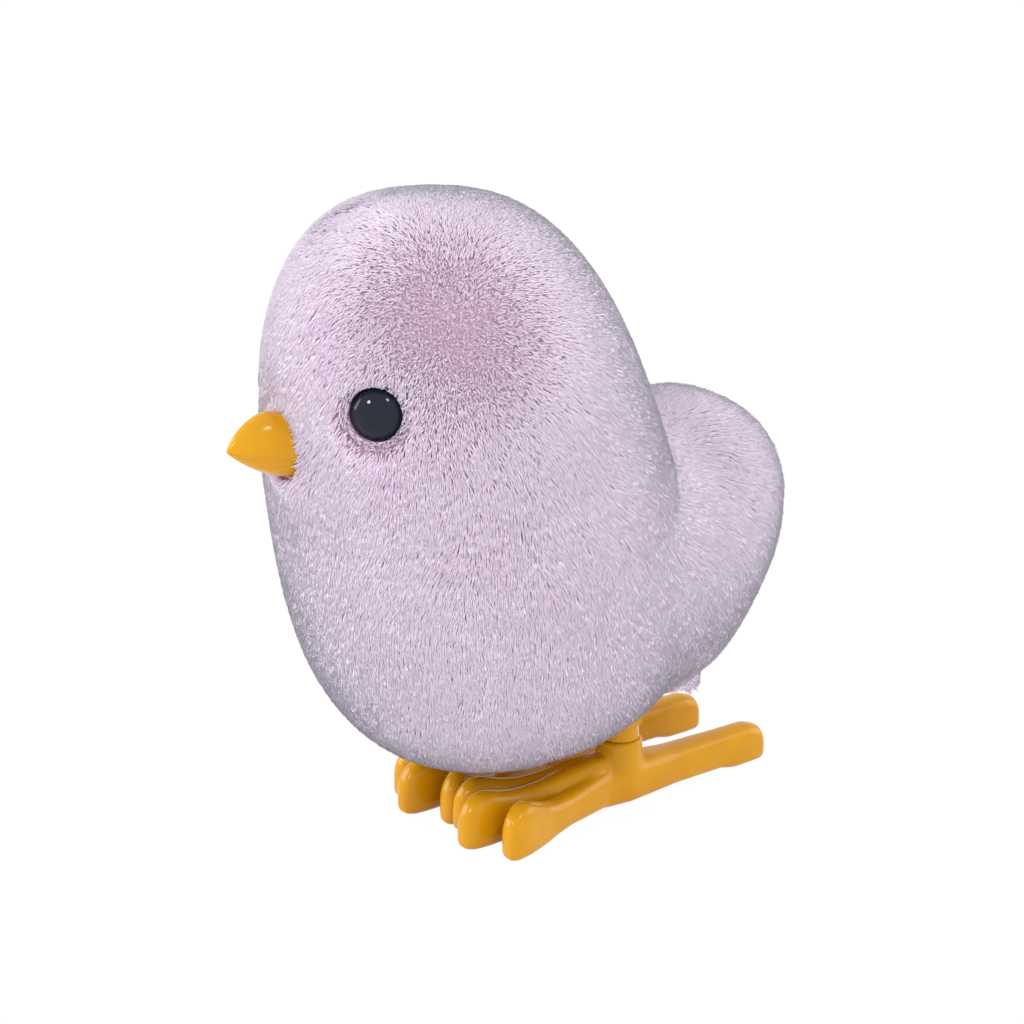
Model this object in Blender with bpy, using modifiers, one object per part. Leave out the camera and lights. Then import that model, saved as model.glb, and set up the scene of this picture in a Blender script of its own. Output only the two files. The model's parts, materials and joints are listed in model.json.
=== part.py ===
"""Wind-up hopping chick: a plush chick over a two-part former, on a spring motor with two hopping legs.

Units are metres, +Z is up. The chick faces -Y, its left side is +X, and its soles stand on z = 0.
Shafts of the motor all run along X. The winding knob is on the chick's right side.
"""

import math

import bmesh
import bpy
from mathutils import Matrix, Vector

# Fits between pieces
SEAT_GAP = 0.0003
RUNNING_GAP = 0.0001
SIDE_PLAY = 0.0003

# Plush head and body: one egg that leans forward, full in its sides
BODY_BOTTOM = 0.0122
BODY_HALF_HEIGHT = 0.0428
BODY_HALF_WIDTH = 0.0265
BODY_HALF_DEPTH = 0.0309
BODY_CENTRE_Y = -0.0040
BODY_LEAN = 0.0106
BODY_BEND = -0.0025
BODY_EGG = 0.14
BODY_FULLNESS = 0.72
BODY_UNDERSLOPE = 0.22
PLUSH_THICKNESS = 0.0040

# Plush rump lobe behind the body
RUMP_CENTRE_Y = 0.0293
RUMP_CENTRE_HEIGHT = 0.0385
RUMP_HALF_LENGTH = 0.0162
RUMP_HALF_WIDTH = 0.0210
RUMP_HALF_HEIGHT = 0.0252
RUMP_TILT = math.radians(-31.4)
RUMP_FULLNESS = 0.85

# Former under the plush, and the plate that closes it below
SHELL_WALL = 0.0016
BASE_BOTTOM = 0.0215
BASE_THICKNESS = 0.0024
SHELL_BOSS_RADIUS = 0.0026
SHELL_BOSS_HEIGHT = 0.0065
SHELL_BOSS_Y = -0.0020
SHELL_BOSS_BITE = 0.0010

# Eyes and beak
EYE_RADIUS = 0.0040
EYE_DOME = 0.0030
EYE_RIM = 0.0010
EYE_SINK = 0.0036
EYE_POLAR = math.radians(73.1)
EYE_TURN = math.radians(53.5)
SHANK_RADIUS = 0.0011
SHANK_REACH = 0.0030
WASHER_RADIUS = 0.0036
WASHER_THICKNESS = 0.0010
BEAK_HEIGHT = 0.0647
BEAK_LENGTH = 0.0088
BEAK_BASE_HALF_WIDTH = 0.0043
BEAK_BASE_HALF_HEIGHT = 0.0047
BEAK_SINK = 0.0024
BEAK_LIP_STEP = 0.0004
BEAK_LIP_DROP = 0.0009
BEAK_TIP_RISE = 0.0014

# Feet: three toes and a heel bar each
FOOT_X = 0.0079
ANKLE_Y = 0.0174
ANKLE_TOP = 0.0105
ANKLE_RADIUS = 0.0034
TOE_TIP_Y = -0.0130
LEFT_TOE_SPREAD = 0.0071
RIGHT_TOE_SPREAD = 0.0045
TOE_SETBACK = 0.0030
TOE_HALF_WIDTH = 0.0018
TOE_HEIGHT = 0.0078
TOE_WAIST_HEIGHT = 0.0056
WEB_HEIGHT = 0.0036
TOE_ROOT_Y = 0.0170
BAR_FRONT_Y = 0.0040
HEEL_END_Y = 0.0470
HEEL_HALF_WIDTH = 0.0025
HEEL_HEIGHT = 0.0062
INSTEP_HEIGHT = 0.0068
ARCH_LIFT = 0.0007
SOLE_CHAMFER = 0.0006

# Legs
LEG_THICKNESS = 0.0020
LEG_HALF_WIDTH = 0.0030
LEG_POST_RADIUS = 0.00305
LEG_POST_TOP = 0.0176
LEG_SPIGOT_RADIUS = 0.0019
LEG_SPIGOT_DEPTH = 0.0050
LEG_EYE_HEIGHT = 0.0105
LEG_RING_WALL = 0.0016

# Motor: gear teeth
MODULE = 0.0005
ADDENDUM = 0.85
DEDENDUM = 1.15
TOOTH_TIP_SHARE = 0.11
TOOTH_ROOT_SHARE = 0.28
GREAT_TEETH = 36
IDLER_PINION_TEETH = 9
IDLER_TEETH = 30
CRANK_PINION_TEETH = 10
CRANK_TEETH = 27
ESCAPE_PINION_TEETH = 9
GEAR_THICKNESS = 0.0015
GEAR_LAYER_GAP = 0.0004
GEAR_CLEARANCE = 0.0006

# Motor: case and shafts
CASE_WALL = 0.0015
CASE_SPLIT = 0.00015
CRANK_Y = 0.0070
IDLER_BEARING = math.radians(115.0)
GREAT_BEARING = math.radians(215.0)
ESCAPE_BEARING = math.radians(40.0)
ARBOR_RADIUS = 0.0015
AXLE_RADIUS = 0.0008
CRANK_SHAFT_RADIUS = 0.0010
THROW = 0.0022
CRANK_RADIUS = 0.0044
CRANK_THICKNESS = 0.0014
CRANK_PIN_RADIUS = 0.0010
CLIP_RADIUS = 0.0020
CLIP_THICKNESS = 0.0006
GUIDE_PIN_RADIUS = 0.0008

# Motor: spring, ratchet, escapement and knob
SPRING_TURNS = 5
SPRING_STRIP = 0.00035
SPRING_WIDTH = 0.0036
RATCHET_TEETH = 10
RATCHET_RADIUS = 0.0044
RATCHET_TOOTH = 0.0009
CLICK_PIVOT_RADIUS = 0.0068
CLICK_HALF_WIDTH = 0.0009
ESCAPE_POINTS = 7
ESCAPE_RADIUS = 0.0038
ESCAPE_TOOTH = 0.0014
VERGE_RISE = 0.0066
VERGE_REACH = math.radians(52.0)
VERGE_ARM = 0.0011
VERGE_SWING_ROOM = 0.0007
KNOB_RADIUS = 0.0062
KNOB_THICKNESS = 0.0050
KNOB_RIBS = 14
KNOB_RIB_DEPTH = 0.0003
KNOB_STANDOFF = 0.0012
KNOB_HUB_RADIUS = 0.0029

# Screws
SCREW_RADIUS = 0.0008
SCREW_HEAD_RADIUS = 0.0016
SCREW_HEAD = 0.0010
SCREW_GRIP = 0.0040
CASE_BOSS_RADIUS = 0.0023
CASE_BOSS_BEARINGS = (math.radians(135.0), math.radians(95.0), math.radians(330.0))
LUG_X = 0.0107
LUG_Y = -0.0072
LUG_SIZE = 0.0046

# Facets
ROUND = 14
FINE_ROUND = 24
FOOT_ARC = 8
PLUSH_FACETS = (36, 20)
HOLLOW_FACETS = (24, 14)

# Values that follow from those above
BODY_MID_HEIGHT = BODY_BOTTOM + BODY_HALF_HEIGHT
BASE_TOP = BASE_BOTTOM + BASE_THICKNESS
SHELL_INSET = PLUSH_THICKNESS + SEAT_GAP
CASE_BOTTOM = BASE_TOP + SEAT_GAP
CASE_HALF_WIDTH = CASE_WALL + (6 * GEAR_LAYER_GAP + 4 * GEAR_THICKNESS + SPRING_WIDTH) / 2


def pitch_radius(teeth):
    return MODULE * teeth / 2


def tip_radius(teeth):
    return pitch_radius(teeth) + ADDENDUM * MODULE


def along(start, bearing, distance):
    """The point of the (y, z) plane at this distance and bearing from start."""
    return (start[0] + distance * math.cos(bearing), start[1] + distance * math.sin(bearing))


# Shaft centres in the (y, z) plane
CRANK_AT = (CRANK_Y, CASE_BOTTOM + CASE_WALL + GEAR_CLEARANCE + tip_radius(CRANK_TEETH))
IDLER_AT = along(CRANK_AT, IDLER_BEARING, pitch_radius(IDLER_TEETH + CRANK_PINION_TEETH))
GREAT_AT = along(IDLER_AT, GREAT_BEARING, pitch_radius(GREAT_TEETH + IDLER_PINION_TEETH))
ESCAPE_AT = along(CRANK_AT, ESCAPE_BEARING, pitch_radius(CRANK_TEETH + ESCAPE_PINION_TEETH))
VERGE_AT = (ESCAPE_AT[0], ESCAPE_AT[1] + VERGE_RISE)

# Layers of the motor along X, from the chick's right to its left
FIRST_LAYER = -CASE_HALF_WIDTH + CASE_WALL + GEAR_LAYER_GAP
LAYER_STEP = GEAR_THICKNESS + GEAR_LAYER_GAP
CRANK_GEAR_X = FIRST_LAYER + GEAR_THICKNESS / 2
IDLER_GEAR_X = CRANK_GEAR_X + LAYER_STEP
GREAT_GEAR_X = IDLER_GEAR_X + LAYER_STEP
RATCHET_X = GREAT_GEAR_X + LAYER_STEP
SPRING_X = RATCHET_X + GEAR_THICKNESS / 2 + GEAR_LAYER_GAP + SPRING_WIDTH / 2

# Parts outside the case, on the left; the right side mirrors them
CRANK_X = CASE_HALF_WIDTH + SIDE_PLAY + CRANK_THICKNESS / 2
LEG_X = CRANK_X + CRANK_THICKNESS / 2 + SIDE_PLAY + LEG_THICKNESS / 2
CLIP_X = LEG_X + LEG_THICKNESS / 2 + SIDE_PLAY + CLIP_THICKNESS / 2
CRANK_PIN_END = CLIP_X + CLIP_THICKNESS / 2 + SIDE_PLAY

LILAC = (0.69, 0.57, 0.73)
ORANGE = (0.83, 0.36, 0.02)
EYE_BLACK = (0.012, 0.013, 0.020)
WHITE_PLASTIC = (0.78, 0.77, 0.74)
GREY_PLASTIC = (0.36, 0.37, 0.38)
CREAM_NYLON = (0.80, 0.74, 0.58)
STEEL = (0.56, 0.57, 0.58)
SPRING_STEEL = (0.24, 0.26, 0.31)
BRASS = (0.72, 0.52, 0.20)


def clear_scene():
    for obj in list(bpy.data.objects):
        bpy.data.objects.remove(obj, do_unlink=True)


def new_collection(name):
    collection = bpy.data.collections.new(name)
    bpy.context.scene.collection.children.link(collection)
    return collection


clear_scene()
PARTS = new_collection("hopping_chick")
CUTTERS = new_collection("cutters")


def empty(name, parent, place):
    """A joint's axis or the chick's own frame: place is given in the parent's axes."""
    holder = bpy.data.objects.new(name, None)
    holder.empty_display_size = ANKLE_RADIUS
    holder.location = place
    holder.parent = parent
    PARTS.objects.link(holder)
    return holder


def finish(obj, colour, roughness, metallic=0.0):
    material = bpy.data.materials.new(obj.name)
    material.use_nodes = True
    shader = material.node_tree.nodes["Principled BSDF"]
    shader.inputs["Base Color"].default_value = (*colour, 1.0)
    shader.inputs["Roughness"].default_value = roughness
    shader.inputs["Metallic"].default_value = metallic
    obj.data.materials.append(material)


def part(name, mesh, parent, place=(0, 0, 0)):
    mesh.shade_smooth()
    mesh.set_sharp_from_angle(angle=math.radians(30))
    obj = bpy.data.objects.new(name, mesh)
    obj.location = place
    obj.parent = parent
    PARTS.objects.link(obj)
    return obj


def helper(name, mesh, parent, place=(0, 0, 0)):
    """A shape that only cuts, joins or trims another one."""
    obj = bpy.data.objects.new(name, mesh)
    obj.location = place
    obj.parent = parent
    obj.hide_render = True
    obj.display_type = "WIRE"
    CUTTERS.objects.link(obj)
    return obj


def combine(obj, operation, *others):
    for other in others:
        modifier = obj.modifiers.new(other.name, "BOOLEAN")
        modifier.operation = operation
        modifier.object = other
        modifier.solver = "EXACT"


def cut(obj, *others):
    combine(obj, "DIFFERENCE", *others)


def join(obj, *others):
    combine(obj, "UNION", *others)


def trim(obj, *others):
    combine(obj, "INTERSECT", *others)


ALONG_X = Matrix(((0, 0, 1, 0), (1, 0, 0, 0), (0, 1, 0, 0), (0, 0, 0, 1)))
WELD = 1e-7


def mesh_of(name, shape):
    bmesh.ops.remove_doubles(shape, verts=shape.verts, dist=WELD)
    bmesh.ops.recalc_face_normals(shape, faces=shape.faces)
    mesh = bpy.data.meshes.new(name)
    shape.to_mesh(mesh)
    shape.free()
    return mesh


def evaluated_mesh(holder, turn):
    """The holder's evaluated shape as a welded mesh, turned by a matrix. The holder is removed."""
    bpy.context.scene.collection.objects.link(holder)
    graph = bpy.context.evaluated_depsgraph_get()
    source = bpy.data.meshes.new_from_object(holder.evaluated_get(graph))
    shape = bmesh.new()
    shape.from_mesh(source)
    name = holder.name
    bpy.data.objects.remove(holder)
    bmesh.ops.transform(shape, matrix=turn, verts=shape.verts)
    return mesh_of(name, shape)


def plate_mesh(name, outlines, thickness):
    """A flat piece in the (y, z) plane: the outer outline first, then any holes, centred on x = 0."""
    curve = bpy.data.curves.new(name, "CURVE")
    curve.dimensions = "2D"
    curve.fill_mode = "BOTH"
    curve.extrude = thickness / 2
    for outline in outlines:
        spline = curve.splines.new("POLY")
        spline.points.add(len(outline) - 1)
        for point, (across, up) in zip(spline.points, outline):
            point.co = (across, up, 0, 1)
        spline.use_cyclic_u = True
    return evaluated_mesh(bpy.data.objects.new(name, curve), ALONG_X)


def turned_mesh(name, profile, steps=ROUND, turn=ALONG_X, closed=False):
    """A profile of (radius, height) pairs, from top to bottom, turned about its height axis."""
    mesh = bpy.data.meshes.new(name)
    count = len(profile)
    edges = [(i, i + 1) for i in range(count - 1)]
    if closed:
        edges.append((count - 1, 0))
    mesh.from_pydata([(radius, 0, height) for radius, height in profile], edges, [])
    holder = bpy.data.objects.new(name, mesh)
    screw = holder.modifiers.new("turn", "SCREW")
    screw.axis = "Z"
    screw.angle = math.tau
    screw.steps = steps
    screw.render_steps = steps
    screw.use_merge_vertices = True
    screw.merge_threshold = WELD
    return evaluated_mesh(holder, turn)


def rod_mesh(name, radius, start, end, steps=ROUND, turn=ALONG_X):
    """A round rod from start to end along its axis."""
    return turned_mesh(name, [(0, end), (radius, end), (radius, start), (0, start)], steps, turn)


def ring_mesh(name, outer, bore, start, end, steps=ROUND, turn=ALONG_X):
    profile = [(bore, end), (outer, end), (outer, start), (bore, start)]
    return turned_mesh(name, profile, steps, turn, closed=True)


def box_mesh(name, low, high):
    shape = bmesh.new()
    bmesh.ops.create_cube(shape, size=1.0)
    low, high = Vector(low), Vector(high)
    for vertex in shape.verts:
        share = vertex.co + Vector((0.5, 0.5, 0.5))
        vertex.co = [a + (b - a) * s for a, b, s in zip(low, high, share)]
    return mesh_of(name, shape)


def circle(centre, radius, steps=ROUND):
    """Points of a circle in the (y, z) plane."""
    turns = [math.tau * i / steps for i in range(steps)]
    return [(centre[0] + radius * math.cos(a), centre[1] + radius * math.sin(a)) for a in turns]


def hull_mesh(name, circles, start, end):
    """The tight band round several circles of the (y, z) plane, as a solid from start to end along X."""
    shape = bmesh.new()
    for centre, radius in circles:
        for across, up in circle(centre, radius):
            shape.verts.new((start, across, up))
            shape.verts.new((end, across, up))
    made = bmesh.ops.convex_hull(shape, input=shape.verts)
    spare = [item for item in made["geom_interior"] if isinstance(item, bmesh.types.BMVert)]
    bmesh.ops.delete(shape, geom=spare, context="VERTS")
    loose = [vertex for vertex in shape.verts if not vertex.link_faces]
    bmesh.ops.delete(shape, geom=loose, context="VERTS")
    bmesh.ops.dissolve_limit(shape, angle_limit=math.radians(1), verts=shape.verts, edges=shape.edges)
    return mesh_of(name, shape)


def loft_mesh(name, rings):
    """A solid through a row of rings that have as many points each."""
    shape = bmesh.new()
    rows = [[shape.verts.new(point) for point in ring] for ring in rings]
    for row, following in zip(rows, rows[1:]):
        for i in range(len(row)):
            shape.faces.new((row[i - 1], row[i], following[i], following[i - 1]))
    shape.faces.new(rows[0])
    shape.faces.new(rows[-1])
    return mesh_of(name, shape)


def power(value, exponent):
    return math.copysign(abs(value) ** exponent, value)


def body_point(polar, turn, inset=0.0):
    """A point of the body: polar runs from the crown down, turn from the chick's left round to its back."""
    height = power(math.cos(polar), BODY_FULLNESS)
    reach = max(math.sin(polar), 0.0) ** BODY_FULLNESS * (1 - BODY_EGG * height)
    fore = (BODY_HALF_DEPTH - inset) * reach * math.sin(turn)
    return Vector(
        (
            (BODY_HALF_WIDTH - inset) * reach * math.cos(turn),
            BODY_CENTRE_Y - BODY_LEAN * height - BODY_BEND * (height**2 - 0.5) + fore,
            BODY_MID_HEIGHT
            + (BODY_HALF_HEIGHT - inset) * height
            + BODY_UNDERSLOPE * fore * (1 - height) / 2,
        )
    )


def body_normal(polar, turn):
    """The way that the body faces at a point."""
    step = 1e-3
    down = body_point(polar + step, turn) - body_point(polar - step, turn)
    across = body_point(polar, turn + step) - body_point(polar, turn - step)
    return down.cross(across).normalized()


def body_mesh(name, inset, around, rows):
    """The body's form, made smaller by an inset, from a sphere whose points are moved."""
    shape = bmesh.new()
    bmesh.ops.create_uvsphere(shape, u_segments=around, v_segments=rows, radius=1.0)
    for vertex in shape.verts:
        polar = math.acos(max(-1.0, min(1.0, vertex.co.z)))
        vertex.co = body_point(polar, math.atan2(vertex.co.y, vertex.co.x), inset)
    return mesh_of(name, shape)


def front_polar(height):
    """The polar angle at which the front of the body passes a height."""
    low, high = 0.0, math.pi
    while high - low > WELD:
        middle = (low + high) / 2
        if body_point(middle, -math.pi / 2).z > height:
            low = middle
        else:
            high = middle
    return low


def body_half_width(along_y, height, inset):
    """How far the body's form, made smaller by an inset, reaches sideways at a height and a place along Y."""
    low, high = 0.0, math.pi
    while high - low > WELD:
        polar = (low + high) / 2
        level = power(math.cos(polar), BODY_FULLNESS)
        fore = along_y - BODY_CENTRE_Y + BODY_LEAN * level + BODY_BEND * (level**2 - 0.5)
        rise = (BODY_HALF_HEIGHT - inset) * level + BODY_UNDERSLOPE * fore * (1 - level) / 2
        if BODY_MID_HEIGHT + rise > height:
            low = polar
        else:
            high = polar
    reach = math.sin(low) ** BODY_FULLNESS * (1 - BODY_EGG * level)
    share = fore / ((BODY_HALF_DEPTH - inset) * reach)
    return (BODY_HALF_WIDTH - inset) * reach * math.sqrt(1 - share**2)


# The former's screw bosses stand against its wall
WALL_X = body_half_width(SHELL_BOSS_Y, BASE_TOP, SHELL_INSET + SHELL_WALL)
SHELL_BOSS_X = WALL_X - SHELL_BOSS_RADIUS + SHELL_BOSS_BITE

# Frames and joint axes
CHICK = empty("chick", None, (0, 0, 0))
WINDER_AXIS = empty("winder_axis", CHICK, (0, *GREAT_AT))
GREAT_AXIS = empty("great_axis", CHICK, (0, *GREAT_AT))
IDLER_AXIS = empty("idler_axis", CHICK, (0, *IDLER_AT))
CRANK_AXIS = empty("crank_axis", CHICK, (0, *CRANK_AT))
ESCAPE_AXIS = empty("escape_axis", CHICK, (0, *ESCAPE_AT))
VERGE_AXIS = empty("verge_axis", CHICK, (0, *VERGE_AT))
CLICK_BEARING = math.radians(90.0)
CLICK_AXIS = empty("click_axis", GREAT_AXIS, (0, *along((0, 0), CLICK_BEARING, CLICK_PIVOT_RADIUS)))
LEFT_PIN_AXIS = empty("left_pin_axis", CRANK_AXIS, (0, 0, THROW))
RIGHT_PIN_AXIS = empty("right_pin_axis", CRANK_AXIS, (0, 0, THROW))
SIDES = (("left", 1, LEFT_PIN_AXIS), ("right", -1, RIGHT_PIN_AXIS))


def facing(place, normal):
    """The matrix that puts a turned piece's height axis along a normal, at a place."""
    return Matrix.Translation(place) @ normal.to_track_quat("Z", "Y").to_matrix().to_4x4()


def add_plush_and_former():
    """The pile-fabric body and rump, and the two halves of the former inside."""
    below = SEAT_GAP + BODY_HALF_HEIGHT * 2
    plush = part("plush_body", body_mesh("plush_body", 0.0, *PLUSH_FACETS), CHICK)
    hollow = helper("plush_hollow", body_mesh("plush_hollow", PLUSH_THICKNESS, *HOLLOW_FACETS), CHICK)
    reach = BODY_HALF_WIDTH * 2
    under = box_mesh("plush_floor", (-reach, -reach, -below), (reach, reach, BASE_BOTTOM - SEAT_GAP))
    cut(hollow, helper("plush_floor", under, CHICK))
    cut(plush, hollow)

    travel = THROW + SEAT_GAP * 2
    side = LEG_X + LEG_THICKNESS / 2 + SEAT_GAP * 2
    front = CRANK_Y - LEG_HALF_WIDTH - travel
    rear = ANKLE_Y + ANKLE_RADIUS + travel
    hole = box_mesh("leg_opening", (-side, front, -below), (side, rear, BASE_BOTTOM))
    opening = helper("leg_opening", hole, CHICK)
    cut(plush, opening)
    finish(plush, LILAC, 0.95)

    rump_shape = bmesh.new()
    bmesh.ops.create_uvsphere(rump_shape, u_segments=FINE_ROUND, v_segments=ROUND, radius=1.0)
    for vert in rump_shape.verts:
        flat = max(vert.co.xy.length, WELD)
        fuller = flat**RUMP_FULLNESS / flat
        vert.co = (vert.co.x * fuller, vert.co.y * fuller, power(vert.co.z, RUMP_FULLNESS))
    grow = Matrix.Diagonal((RUMP_HALF_WIDTH, RUMP_HALF_LENGTH, RUMP_HALF_HEIGHT, 1.0))
    tilt = Matrix.Rotation(RUMP_TILT, 4, "X")
    bmesh.ops.transform(rump_shape, matrix=tilt @ grow, verts=rump_shape.verts)
    rump = part("plush_rump", mesh_of("plush_rump", rump_shape), CHICK, (0, RUMP_CENTRE_Y, RUMP_CENTRE_HEIGHT))
    cut(rump, helper("rump_seat", body_mesh("rump_seat", -SEAT_GAP, *PLUSH_FACETS), CHICK), opening)
    finish(rump, LILAC, 0.95)

    outer = helper("former_outside", body_mesh("former_outside", SHELL_INSET, *HOLLOW_FACETS), CHICK)
    inner = helper("former_inside", body_mesh("former_inside", SHELL_INSET + SHELL_WALL, *HOLLOW_FACETS), CHICK)
    top = BASE_TOP + SEAT_GAP
    for name, sign, _ in SIDES:
        near, far = sorted((sign * CASE_SPLIT, sign * reach))
        half = part(
            f"shell_{name}",
            box_mesh(f"shell_{name}", (near, -reach, top), (far, reach * 2, below * 2)),
            CHICK,
        )
        boss = rod_mesh("shell_boss", SHELL_BOSS_RADIUS, 0, top + SHELL_BOSS_HEIGHT, turn=Matrix())
        cut(inner, helper(f"shell_boss_{name}", boss, CHICK, (sign * SHELL_BOSS_X, SHELL_BOSS_Y, 0)))
        trim(half, outer)
        cut(half, inner)
        finish(half, WHITE_PLASTIC, 0.45)
    return plush


def add_face(plush, shells):
    """Eyes and beak, each with a shank through plush and former and a washer inside."""
    depth = SHELL_INSET + SHELL_WALL
    for name, sign, _ in SIDES:
        turn = -EYE_TURN if sign > 0 else -math.pi + EYE_TURN
        place = facing(body_point(EYE_POLAR, turn), body_normal(EYE_POLAR, turn))
        back = -EYE_SINK
        tail = -depth - SHANK_REACH
        steps = 7
        dome = [math.pi / 2 * i / steps for i in range(1, steps + 1)]
        profile = [(0, back + EYE_RIM + EYE_DOME)]
        profile += [(EYE_RADIUS * math.sin(a), back + EYE_RIM + EYE_DOME * math.cos(a)) for a in dome]
        profile += [(EYE_RADIUS, back), (SHANK_RADIUS, back), (SHANK_RADIUS, tail), (0, tail)]
        eye = part(f"{name}_eye", turned_mesh(f"{name}_eye", profile, FINE_ROUND, place), CHICK)
        finish(eye, EYE_BLACK, 0.08)
        wide = EYE_RADIUS + SEAT_GAP
        slim = SHANK_RADIUS + SEAT_GAP
        clear = EYE_DOME + EYE_RIM
        profile = [(0, clear), (wide, clear), (wide, back - SEAT_GAP), (slim, back - SEAT_GAP)]
        profile += [(slim, tail), (0, tail)]
        hole = helper(f"{name}_eye_hole", turned_mesh(f"{name}_eye_hole", profile, ROUND, place), CHICK)
        cut(plush, hole)
        cut(shells[name], hole)
        inside = -depth - SEAT_GAP * 2
        ring = ring_mesh(
            f"{name}_eye_washer", WASHER_RADIUS, SHANK_RADIUS + RUNNING_GAP, inside - WASHER_THICKNESS, inside,
            turn=place,
        )
        finish(part(f"{name}_eye_washer", ring, CHICK), STEEL, 0.35, 1.0)

    polar = front_polar(BEAK_HEIGHT)
    front = body_point(polar, -math.pi / 2).y
    back = front + BEAK_SINK
    tail = front + depth + SHANK_REACH
    beak = part("beak", beak_mesh(back, front - BEAK_LENGTH), CHICK, (0, 0, BEAK_HEIGHT))
    backward = Matrix.Rotation(math.radians(-90), 4, "X")
    shank = helper(
        "beak_shank",
        rod_mesh("beak_shank", SHANK_RADIUS, back - SHANK_RADIUS, tail, turn=backward),
        CHICK,
        (0, 0, BEAK_HEIGHT),
    )
    join(beak, shank)
    finish(beak, ORANGE, 0.25)
    share = 1 + SEAT_GAP / BEAK_BASE_HALF_WIDTH
    profile = [(0, tail), (SHANK_RADIUS + SEAT_GAP, tail), (SHANK_RADIUS + SEAT_GAP, back + SEAT_GAP)]
    profile += [(BEAK_BASE_HALF_HEIGHT * share, back + SEAT_GAP), (BEAK_BASE_HALF_HEIGHT * share, front - BEAK_LENGTH)]
    profile += [(0, front - BEAK_LENGTH)]
    hole = turned_mesh("beak_hole", profile, ROUND, backward)
    hole = helper("beak_hole", hole, CHICK, (0, 0, BEAK_HEIGHT))
    cut(plush, hole)
    for shell in shells.values():
        cut(shell, hole)
    inside = front + depth + SEAT_GAP * 2
    ring = ring_mesh(
        "beak_washer", WASHER_RADIUS, SHANK_RADIUS + RUNNING_GAP, inside, inside + WASHER_THICKNESS, turn=backward
    )
    finish(part("beak_washer", ring, CHICK, (0, 0, BEAK_HEIGHT)), STEEL, 0.35, 1.0)


def beak_mesh(back, tip):
    """Two mandibles in one moulding: a full rounded upper one, and a lower one set in at the lip."""
    stations = 9
    points = 16
    upper_rise = BEAK_BASE_HALF_HEIGHT + BEAK_LIP_DROP
    lower_drop = BEAK_BASE_HALF_HEIGHT - BEAK_LIP_DROP
    rings = []
    for i in range(stations):
        share = i / (stations - 1) * 0.99
        nose = max(0.0, share - 0.42) / 0.58
        upper = (1 - nose**1.5) ** 0.75
        lower = 1 - share**2.2
        wide = math.cos(math.pi / 2 * share) ** 0.7
        lip = BEAK_TIP_RISE * share - BEAK_LIP_DROP
        ring = []
        for k in range(points):
            angle = math.tau * (k + 0.5) / points
            across = BEAK_BASE_HALF_WIDTH * wide * math.cos(angle)
            if math.sin(angle) > 0:
                up = upper_rise * upper * math.sin(angle)
            else:
                up = lower_drop * lower * math.sin(angle)
                across -= math.copysign(min(BEAK_LIP_STEP, abs(across) / 2), across)
            ring.append((across, back + (tip - back) * share, lip + up))
        rings.append(ring)
    return loft_mesh("beak", rings)


def add_base_plate():
    """The plate under the former, with slots for the legs and sunk screw heads."""
    reach = BODY_HALF_WIDTH * 2
    slab = box_mesh("base_plate", (-reach, -reach, BASE_BOTTOM), (reach, reach, BASE_TOP))
    plate = part("base_plate", slab, CHICK)
    trim(plate, helper("base_outline", body_mesh("base_outline", SHELL_INSET, *HOLLOW_FACETS), CHICK))
    travel = THROW + SEAT_GAP * 2
    for name, sign, _ in SIDES:
        inner = LEG_X - LEG_THICKNESS / 2 - SEAT_GAP * 2
        outer = LEG_X + LEG_THICKNESS / 2 + SEAT_GAP * 2
        low, high = sorted((sign * inner, sign * outer))
        room = LEG_HALF_WIDTH + travel
        slot = box_mesh(f"leg_slot_{name}", (low, CRANK_Y - room, 0), (high, CRANK_Y + room, CASE_BOTTOM))
        cut(plate, helper(f"leg_slot_{name}", slot, CHICK))
    finish(plate, WHITE_PLASTIC, 0.5)
    return plate


def screw_mesh(name, shank, turn):
    """A pan-head screw whose head rests at height 0 and whose shank runs down."""
    profile = [(0, SCREW_HEAD), (SCREW_HEAD_RADIUS * 0.7, SCREW_HEAD), (SCREW_HEAD_RADIUS, SCREW_HEAD * 0.5)]
    profile += [(SCREW_HEAD_RADIUS, 0), (SCREW_RADIUS, 0), (SCREW_RADIUS, -shank), (0, -shank - SCREW_RADIUS)]
    return turned_mesh(name, profile, ROUND, turn)


def screw_hole_mesh(name, shank, turn, sunk):
    """Room for a screw: its shank, and its head as far as it is sunk."""
    slim = SCREW_RADIUS + RUNNING_GAP * 2
    wide = SCREW_HEAD_RADIUS + SEAT_GAP
    deep = -shank - SCREW_RADIUS - SEAT_GAP
    profile = [(0, sunk), (wide, sunk), (wide, -SEAT_GAP), (slim, -SEAT_GAP), (slim, deep), (0, deep)]
    return turned_mesh(name, profile, ROUND, turn)


def add_base_screws(plate, holders):
    """Four screws from below: two into the motor case's lugs, two into the former's bosses."""
    upward = Matrix.Rotation(math.pi, 4, "X")
    seat = BASE_BOTTOM + SCREW_HEAD + SEAT_GAP
    shank = BASE_TOP - seat + SCREW_GRIP
    number = 0
    for across, along_y, kind in ((LUG_X, LUG_Y, "case"), (SHELL_BOSS_X, SHELL_BOSS_Y, "shell")):
        for name, sign, _ in SIDES:
            number += 1
            place = (sign * across, along_y, seat)
            screw = part(f"base_screw_{number}", screw_mesh("base_screw", shank, upward), CHICK, place)
            finish(screw, STEEL, 0.3, 1.0)
            hole = screw_hole_mesh("base_screw_hole", shank, upward, SCREW_HEAD * 2)
            hole = helper(f"base_screw_hole_{number}", hole, CHICK, place)
            cut(plate, hole)
            cut(holders[kind, name], hole)


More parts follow.
